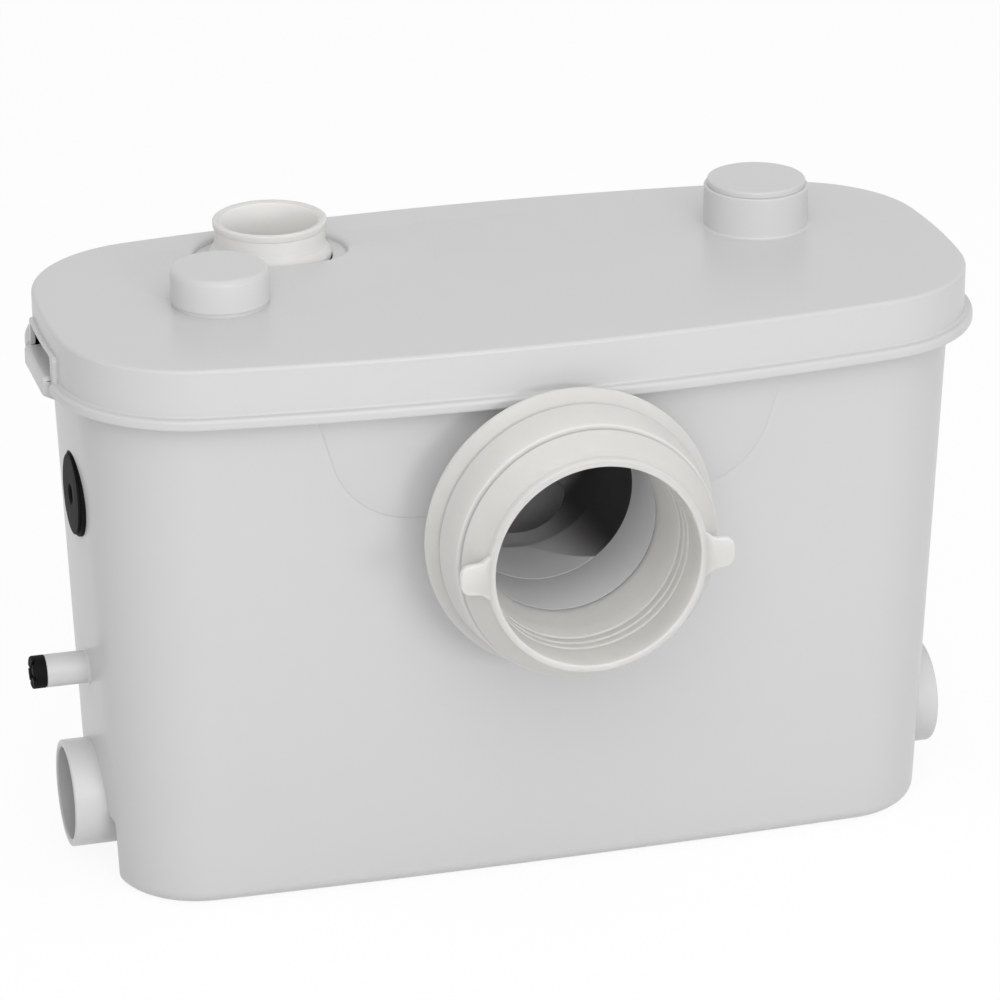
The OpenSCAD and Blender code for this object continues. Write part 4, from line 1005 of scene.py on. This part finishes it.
class PUMP_OT_connector(bpy.types.Operator):
    """Make the stepped rubber pan connector with its ears and inner ribs"""

    bl_idname = "pump.connector"
    bl_label = "Pan connector"

    def execute(self, context):
        s = sizes()
        made = bare("pan_connector", to_front(lathe(rounded(self.profile(s)), 192), s.wc_z))
        ear = rounded([(47.6, -10.6), (49.6, -10, 1), (53, -7.3, 4), (62.2, -6.6, 6.4),
                       (62.2, 6.6, 6.4), (53, 7.3, 4), (49.6, 10, 1), (47.6, 10.6)], 12)
        plate = extrude(ear, s.wc_end - 3.6, s.wc_end - 0.04, 0.8)
        for turn in (0, 180):
            combine(made, to_front(spun(plate, turn), s.wc_z), "UNION")
        paint_shading(made, 1, (0, s.wc_z), lambda far, y: self.tone(s, far, -y))
        piece(made, BODY, CREAM, "wc_connector", angle=50)
        return {"FINISHED"}

    def profile(self, s):
        """Half section: over the stub, out along the steps to the mouth and back through the bore."""
        foot, mouth, bore = s.wc_stub_end, s.wc_end, s.wc_bore_r
        collar = [(45.7, foot - 11.5, 0.5), (49.7, foot - 11.5, 0.8), (49.7, foot + 1, 2)]
        flange = [(65, foot + 4.6, 1.5), (66.6, foot + 7, 1.6), (66.6, foot + 8.6, 1.6),
                  (62.3, foot + 13.6, 0.5)]
        groove = [(60.9, foot + 14.4, 0.3), (60.9, foot + 15, 0.3)]
        middle_step = [(62.2, foot + 16.2, 0.5), (59.7, foot + 35.4, 0.8)]
        second_groove = [(57.9, foot + 36.6, 0.3), (57.9, foot + 37.2, 0.3)]
        nose = [(58.3, foot + 38.4, 0.6), (51.6, mouth - 6.6, 2), (50, mouth - 4.4, 0.6), (50, mouth, 0.7)]
        inside = [(bore, mouth, 0.7), (bore - 0.3, mouth - 17, 0.3)]
        for i in range(3):
            z, r = mouth - 17.4 - 5.2 * i, bore - 0.3 - 0.35 * i
            inside += [(r, z, 0.2), (r + 0.75, z - 0.5, 0.15), (r + 0.75, z - 0.9, 0.15),
                       (r - 0.3, z - 1.4, 0.3)]
        seat = [(44.2, mouth - 36, 3), (42.1, foot + 1.2, 0.3), (42.1, foot + 0.2, 0.1),
                (45.7, foot + 0.2, 0.2)]
        return collar + flange + groove + middle_step + second_groove + nose + inside + seat

    def tone(self, s, far, forward):
        """Painted light in the bore and on the middle step, painted shade in the grooves and on the lip."""
        along, reach = forward - s.wc_stub_end, s.wc_end - s.wc_stub_end
        # painted light in the bore
        if far < s.wc_bore_r + 0.8:
            return float(0 < along < reach - 1)
        # painted shade in the two grooves
        if 14.1 < along < 15.4 or 36.3 < along < 37.6:
            return -1.0
        # painted shade on the face of the lip
        if along > reach - 0.5 and far < 50.5:
            return -0.8
        # painted light on the middle step
        return 0.55 if 15 < along < 37 else 0.0


class PUMP_OT_sleeve(bpy.types.Operator):
    """Make the rubber discharge sleeve"""

    bl_idname = "pump.sleeve"
    bl_label = "Discharge sleeve"

    def execute(self, context):
        s = sizes()
        top = s.top
        lip, foot, neck = top + 16, top - 17, 24.9
        outside = [(22, foot, 0.4), (neck, foot, 0.8), (neck, top - 5.5, 2), (28.4, top - 2.6, 0.8),
                   (28.4, top - 0.2, 1.8), (26, top + 3.6, 3), (25.6, top + 5.6, 1.5), (25.6, lip - 4.2, 0.3)]
        bead = [(26.3, lip - 3.6, 0.4), (26.5, lip - 0.7, 0.7), (25.4, lip, 0.9)]
        inside = [(22.8, lip - 0.9, 0.9), (21.6, lip - 8, 6), (20, lip - 22, 6), (20, foot + 10.2, 0.4),
                  (22, foot + 10.2, 0.2)]
        sleeve = lathe(rounded(outside + bead + inside), 160)
        made = bare("discharge_rubber", moved(sleeve, s.out_x, s.out_y))
        # Painted light: lighter in the bore, and lighter on the outside below the band of the lip
        paint_shading(made, 2, (s.out_x, s.out_y), lambda far, z: 1.5 if far < 23 else 0 if z > lip - 3.9 else 1)
        piece(made, BODY, CREAM, "discharge_sleeve", angle=50)
        return {"FINISHED"}


class PUMP_OT_ends(bpy.types.Operator):
    """Make the cable grommet and the slotted condensate plug"""

    bl_idname = "pump.ends"
    bl_label = "End fittings"

    def execute(self, context):
        s = sizes()
        piece(self.grommet(s), BODY, BLACK, "cable_grommet")
        piece(self.plug(s), BODY, BLACK, "condensate_plug")
        return {"FINISHED"}

    def grommet(self, s):
        """Flanged rubber ring in the left end wall."""
        x, neck, flange, bore, face = grommet_face(s), s.grommet_hole_r - 0.2, s.grommet_flange_r, 4.4, 18.5
        line = [(bore, x - 6.5, 0.4), (neck, x - 6.5, 0.6), (neck, x - 1.5), (flange, x - 1.5, 0.3),
                (flange, x + 0.4, 0.6), (face - 0.3, x + 0.6, 0.3), (face, x + 0.9, 0.3), (face, x + 2, 0.5),
                (bore + 0.8, x + 2, 0.3), (bore, x + 1.2, 0.3)]
        return bare("grommet_rubber", to_left(lathe(rounded(line), 128), s.grommet_y, s.grommet_z))

    def plug(self, s):
        """Plug with a hollow and six slots in its face."""
        r, stem, end = s.spigot_r, s.spigot_bore_r - 0.2, s.spigot_end
        line = [(0, end - 10), (stem, end - 10, 0.6), (stem, end), (r, end, 0.4), (r, end + 6.5, 0.9),
                (3.2, end + 6.5, 0.3), (2.6, end + 5.4, 0.3), (0, end + 5.4)]
        made = bare("plug_rubber", to_left(lathe(rounded(line), 96), s.spigot_y, s.spigot_z))
        slot = box((-1, -12, end + 5), (1, 12, end + 8))
        for turn in (0, 60, 120):
            combine(made, to_left(spun(slot, turn), s.spigot_y, s.spigot_z))
        return made


class PUMP_OT_screws(bpy.types.Operator):
    """Set cross-headed screws on the motor cap, the pump cover and the control box"""

    bl_idname = "pump.screws"
    bl_label = "Screws"

    def execute(self, context):
        for node in ("motor_screws", "pump_screws", "control_screws"):
            self.set_screws(node)
        return {"FINISHED"}

    def places(self, node):
        """Middle, foot, top and radius of each loose part of a screw node."""
        work = bmesh.new()
        work.from_mesh(frame["nodes"][node].data)
        bmesh.ops.remove_doubles(work, verts=work.verts, dist=MERGE)
        seen, found = set(), []
        for v in work.verts:
            if v in seen:
                continue
            island, queue = [], [v]
            seen.add(v)
            while queue:
                here = queue.pop()
                island.append(here.co.copy())
                for e in here.link_edges:
                    other = e.other_vert(here)
                    if other not in seen:
                        seen.add(other)
                        queue.append(other)
            low = Vector([min(p[i] for p in island) for i in range(3)])
            high = Vector([max(p[i] for p in island) for i in range(3)])
            found.append(((low + high) / 2, low.z, high.z, (high.x - low.x) / 2))
        work.free()
        if not found:
            raise RuntimeError(f"{node} has no solids")
        return found

    def screw(self, low, high, r):
        """One screw with a crowned, crossed head; a long one has a thinner shank."""
        head_h, long_one = 2.2, 5
        line = [(0, low), (r, low, 0.2)]
        if high - low > long_one:
            line = [(0, low), (r / 2, low, 0.2), (r / 2, high - head_h, 0), (r, high - head_h, 0.2)]
        line += [(r, high - 0.5, 0.4), (r * 0.6, high, 0.6), (0, high)]
        made = bare("head", lathe(rounded(line, 4), 32))
        half_l, half_w = r * 0.62, r * 0.13
        slot = box((-half_l, -half_w, high - 0.9), (half_l, half_w, high + 1))
        for turn in (0, 90):
            combine(made, spun(slot, turn))
        return made

    def set_screws(self, node):
        found = self.places(node)
        screw = self.screw(*(x / MM for x in found[0][1:]))
        made = bare(node + "_set", ([(p.x / MM, p.y / MM, 0.0) for p, *_ in found], []))
        step = made.modifiers.new("set", "NODES")
        step.node_group = self.group()
        inputs = {i.name: i.identifier for i in step.node_group.interface.items_tree if i.in_out == "INPUT"}
        step[inputs["Screw"]] = screw
        step[inputs["Material"]] = look("steel")
        settle(made)
        discard(screw)
        piece(made, frame["nodes"][node]["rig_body"], "steel", node)

    def group(self):
        """Geometry nodes that put one screw on every point."""
        found = bpy.data.node_groups.get("screw_places")
        if found:
            return found
        tree = bpy.data.node_groups.new("screw_places", "GeometryNodeTree")
        g = Graph(tree)
        for name, kind in (("Geometry", "Geometry"), ("Screw", "Object"), ("Material", "Material")):
            tree.interface.new_socket(name, in_out="INPUT", socket_type="NodeSocket" + kind)
        tree.interface.new_socket("Geometry", in_out="OUTPUT", socket_type="NodeSocketGeometry")
        start = tree.nodes.new("NodeGroupInput")
        points, screw, material = (Wire(g, start.outputs[i]) for i in range(3))
        shape = g.node("GeometryNodeObjectInfo", {}, {"Object": screw}, out="Geometry")
        turn = g.node("FunctionNodeRandomValue", {"data_type": "FLOAT_VECTOR"},
                      {"Min": (0, 0, 0), "Max": (0, 0, math.pi), "Seed": 7})
        put = g.node("GeometryNodeInstanceOnPoints", {},
                     {"Points": points, "Instance": shape, "Rotation": turn})
        real = g.node("GeometryNodeRealizeInstances", {}, {0: put})
        paint = g.node("GeometryNodeSetMaterial", {}, {"Geometry": real, "Material": material})
        g.end("NodeGroupOutput", paint)
        return tree


class PUMP_OT_hopper(bpy.types.Operator):
    """Make the inlet hopper, with painted light in its duct and painted shade beyond it"""

    bl_idname = "pump.hopper"
    bl_label = "Inlet hopper"

    def execute(self, context):
        made = bpy.data.objects.new("hopper_duct", frame["nodes"]["inlet_hopper"].data.copy())
        context.scene.collection.objects.link(made)
        piece(made, BODY, "plastic_grey", "inlet_hopper", finish="hopper_grey")
        return {"FINISHED"}


class PUMP_OT_inside(bpy.types.Operator):
    """Give every remaining CAD piece the material of its slot"""

    bl_idname = "pump.inside"
    bl_label = "Inner pieces"

    def execute(self, context):
        for row in frame["record"]["subparts"]:
            node = frame["nodes"][row["node"]]
            if not node.hide_render:
                node.data.materials.clear()
                node.data.materials.append(look(row["material_slot"]))
        return {"FINISHED"}


class PUMP_OT_stage(bpy.types.Operator):
    """Set the floor, backdrop, soft lights and the camera"""

    bl_idname = "pump.stage"
    bl_label = "Studio"

    def execute(self, context):
        scene = context.scene
        scene.view_settings.view_transform = "Standard"
        self.world(scene)
        self.floor(scene.pump_looks.backdrop)
        self.light(scene, "key", (0.45, -2.3, 0.68), 0.9, 9.6, 0.4)
        self.light(scene, "front", (-0.45, -2.1, 1.6), 2.0, 19)
        self.light(scene, "top", (0.2, -0.3, 2.4), 2.0, 6)
        self.camera(scene)
        return {"FINISHED"}

    def world(self, scene):
        """White where it is seen, and a softer light from all round."""
        scene.world = bpy.data.worlds.new("studio")
        scene.world.use_nodes = True
        g = Graph(scene.world.node_tree)
        fill = g.node("ShaderNodeBackground", {}, {0: (1, 1, 1, 1), 1: scene.pump_looks.fill})
        backdrop = g.node("ShaderNodeBackground", {}, {0: (*scene.pump_looks.backdrop, 1)})
        g.end("ShaderNodeOutputWorld", g.node("ShaderNodeMixShader", {}, {0: g.seen(), 1: fill, 2: backdrop}))

    def floor(self, white):
        """Wide sheet just under the pump."""
        half, z = 6000, -0.2
        corners = [(-half, -half, z), (half, -half, z), (half, half, z), (-half, half, z)]
        made = bare("floor", (corners, [(0, 1, 2, 3)]))
        made.data.materials.append(self.paper(white))

    def paper(self, white):
        """Pale paper that looks like the backdrop's white and still takes the shadow."""
        g = Finish("paper")
        fibre = g.noise(90, 5, 0.6)
        shade = g.node("ShaderNodeBsdfDiffuse", {}, {"Color": g.tint((0.8, 0.8, 0.8), 0.97 + fibre * 0.05)})
        glow = g.node("ShaderNodeEmission", {}, {"Color": (*white, 1), "Strength": 1.05})
        return g.show(g.node("ShaderNodeMixShader", {}, {0: g.seen() * 0.86, 1: shade, 2: glow}))

    def light(self, scene, name, place, size, power, tall=1.0):
        """Soft round or oval lamp that looks at the pump."""
        aim = Vector((0, 0, 0.14))
        data = bpy.data.lights.new(name, "AREA")
        data.shape, data.size, data.size_y, data.energy = "ELLIPSE", size, size * tall, power
        obj = bpy.data.objects.new(name, data)
        obj.location = place
        obj.rotation_euler = (aim - Vector(place)).to_track_quat("-Z", "Y").to_euler()
        scene.collection.objects.link(obj)

    def camera(self, scene):
        """Camera of the photograph, left of square and looking down."""
        azimuth, elevation, roll = -0.271827, 0.391150, -0.00364
        place = Vector((-0.56001, -2.00541, 1.01487))
        level = math.cos(elevation)
        back = Vector((math.sin(azimuth) * level, -math.cos(azimuth) * level, math.sin(elevation)))
        right = (-back).cross(Vector((0, 0, 1))).normalized()
        up = right.cross(-back)
        rolled_right = right * math.cos(roll) + up * math.sin(roll)
        rolled_up = up * math.cos(roll) - right * math.sin(roll)
        data = bpy.data.cameras.new("camera")
        data.sensor_width, data.lens = 36.0, 174.0
        data.clip_start, data.clip_end = 0.05, 50
        camera = bpy.data.objects.new("camera", data)
        turn = Matrix((rolled_right, rolled_up, back)).transposed().to_4x4()
        camera.matrix_world = Matrix.Translation(place) @ turn
        scene.collection.objects.link(camera)
        scene.camera = camera


OPERATORS = (PUMP_OT_tank, PUMP_OT_lid, PUMP_OT_caps, PUMP_OT_connector, PUMP_OT_sleeve, PUMP_OT_ends,
             PUMP_OT_screws, PUMP_OT_hopper, PUMP_OT_inside, PUMP_OT_stage)


class PUMP_PT_panel(bpy.types.Panel):
    """The pump's steps, colours and sizes"""

    bl_idname = "PUMP_PT_panel"
    bl_label = "Macerator pump"
    bl_space_type = "VIEW_3D"
    bl_region_type = "UI"
    bl_category = "Pump"

    def draw(self, context):
        for step in OPERATORS:
            self.layout.operator(step.bl_idname)
        for group in (context.scene.pump_looks, context.scene.pump_sizes):
            rows = self.layout.box()
            for name in type(group).__annotations__:
                rows.prop(group, name)


CLASSES = (PumpSizes, PumpLooks, *OPERATORS, PUMP_PT_panel)


def register():
    for c in CLASSES:
        bpy.utils.register_class(c)
    bpy.types.Scene.pump_sizes = PointerProperty(type=PumpSizes)
    bpy.types.Scene.pump_looks = PointerProperty(type=PumpLooks)


def unregister():
    del bpy.types.Scene.pump_looks
    del bpy.types.Scene.pump_sizes
    for c in reversed(CLASSES):
        bpy.utils.unregister_class(c)


def main():
    register()
    for step in OPERATORS:
        group, name = step.bl_idname.split(".")
        result = getattr(getattr(bpy.ops, group), name)()
        if result != {"FINISHED"}:
            raise RuntimeError(f"{step.bl_idname} did not finish")


if __name__ == "__main__":
    main()
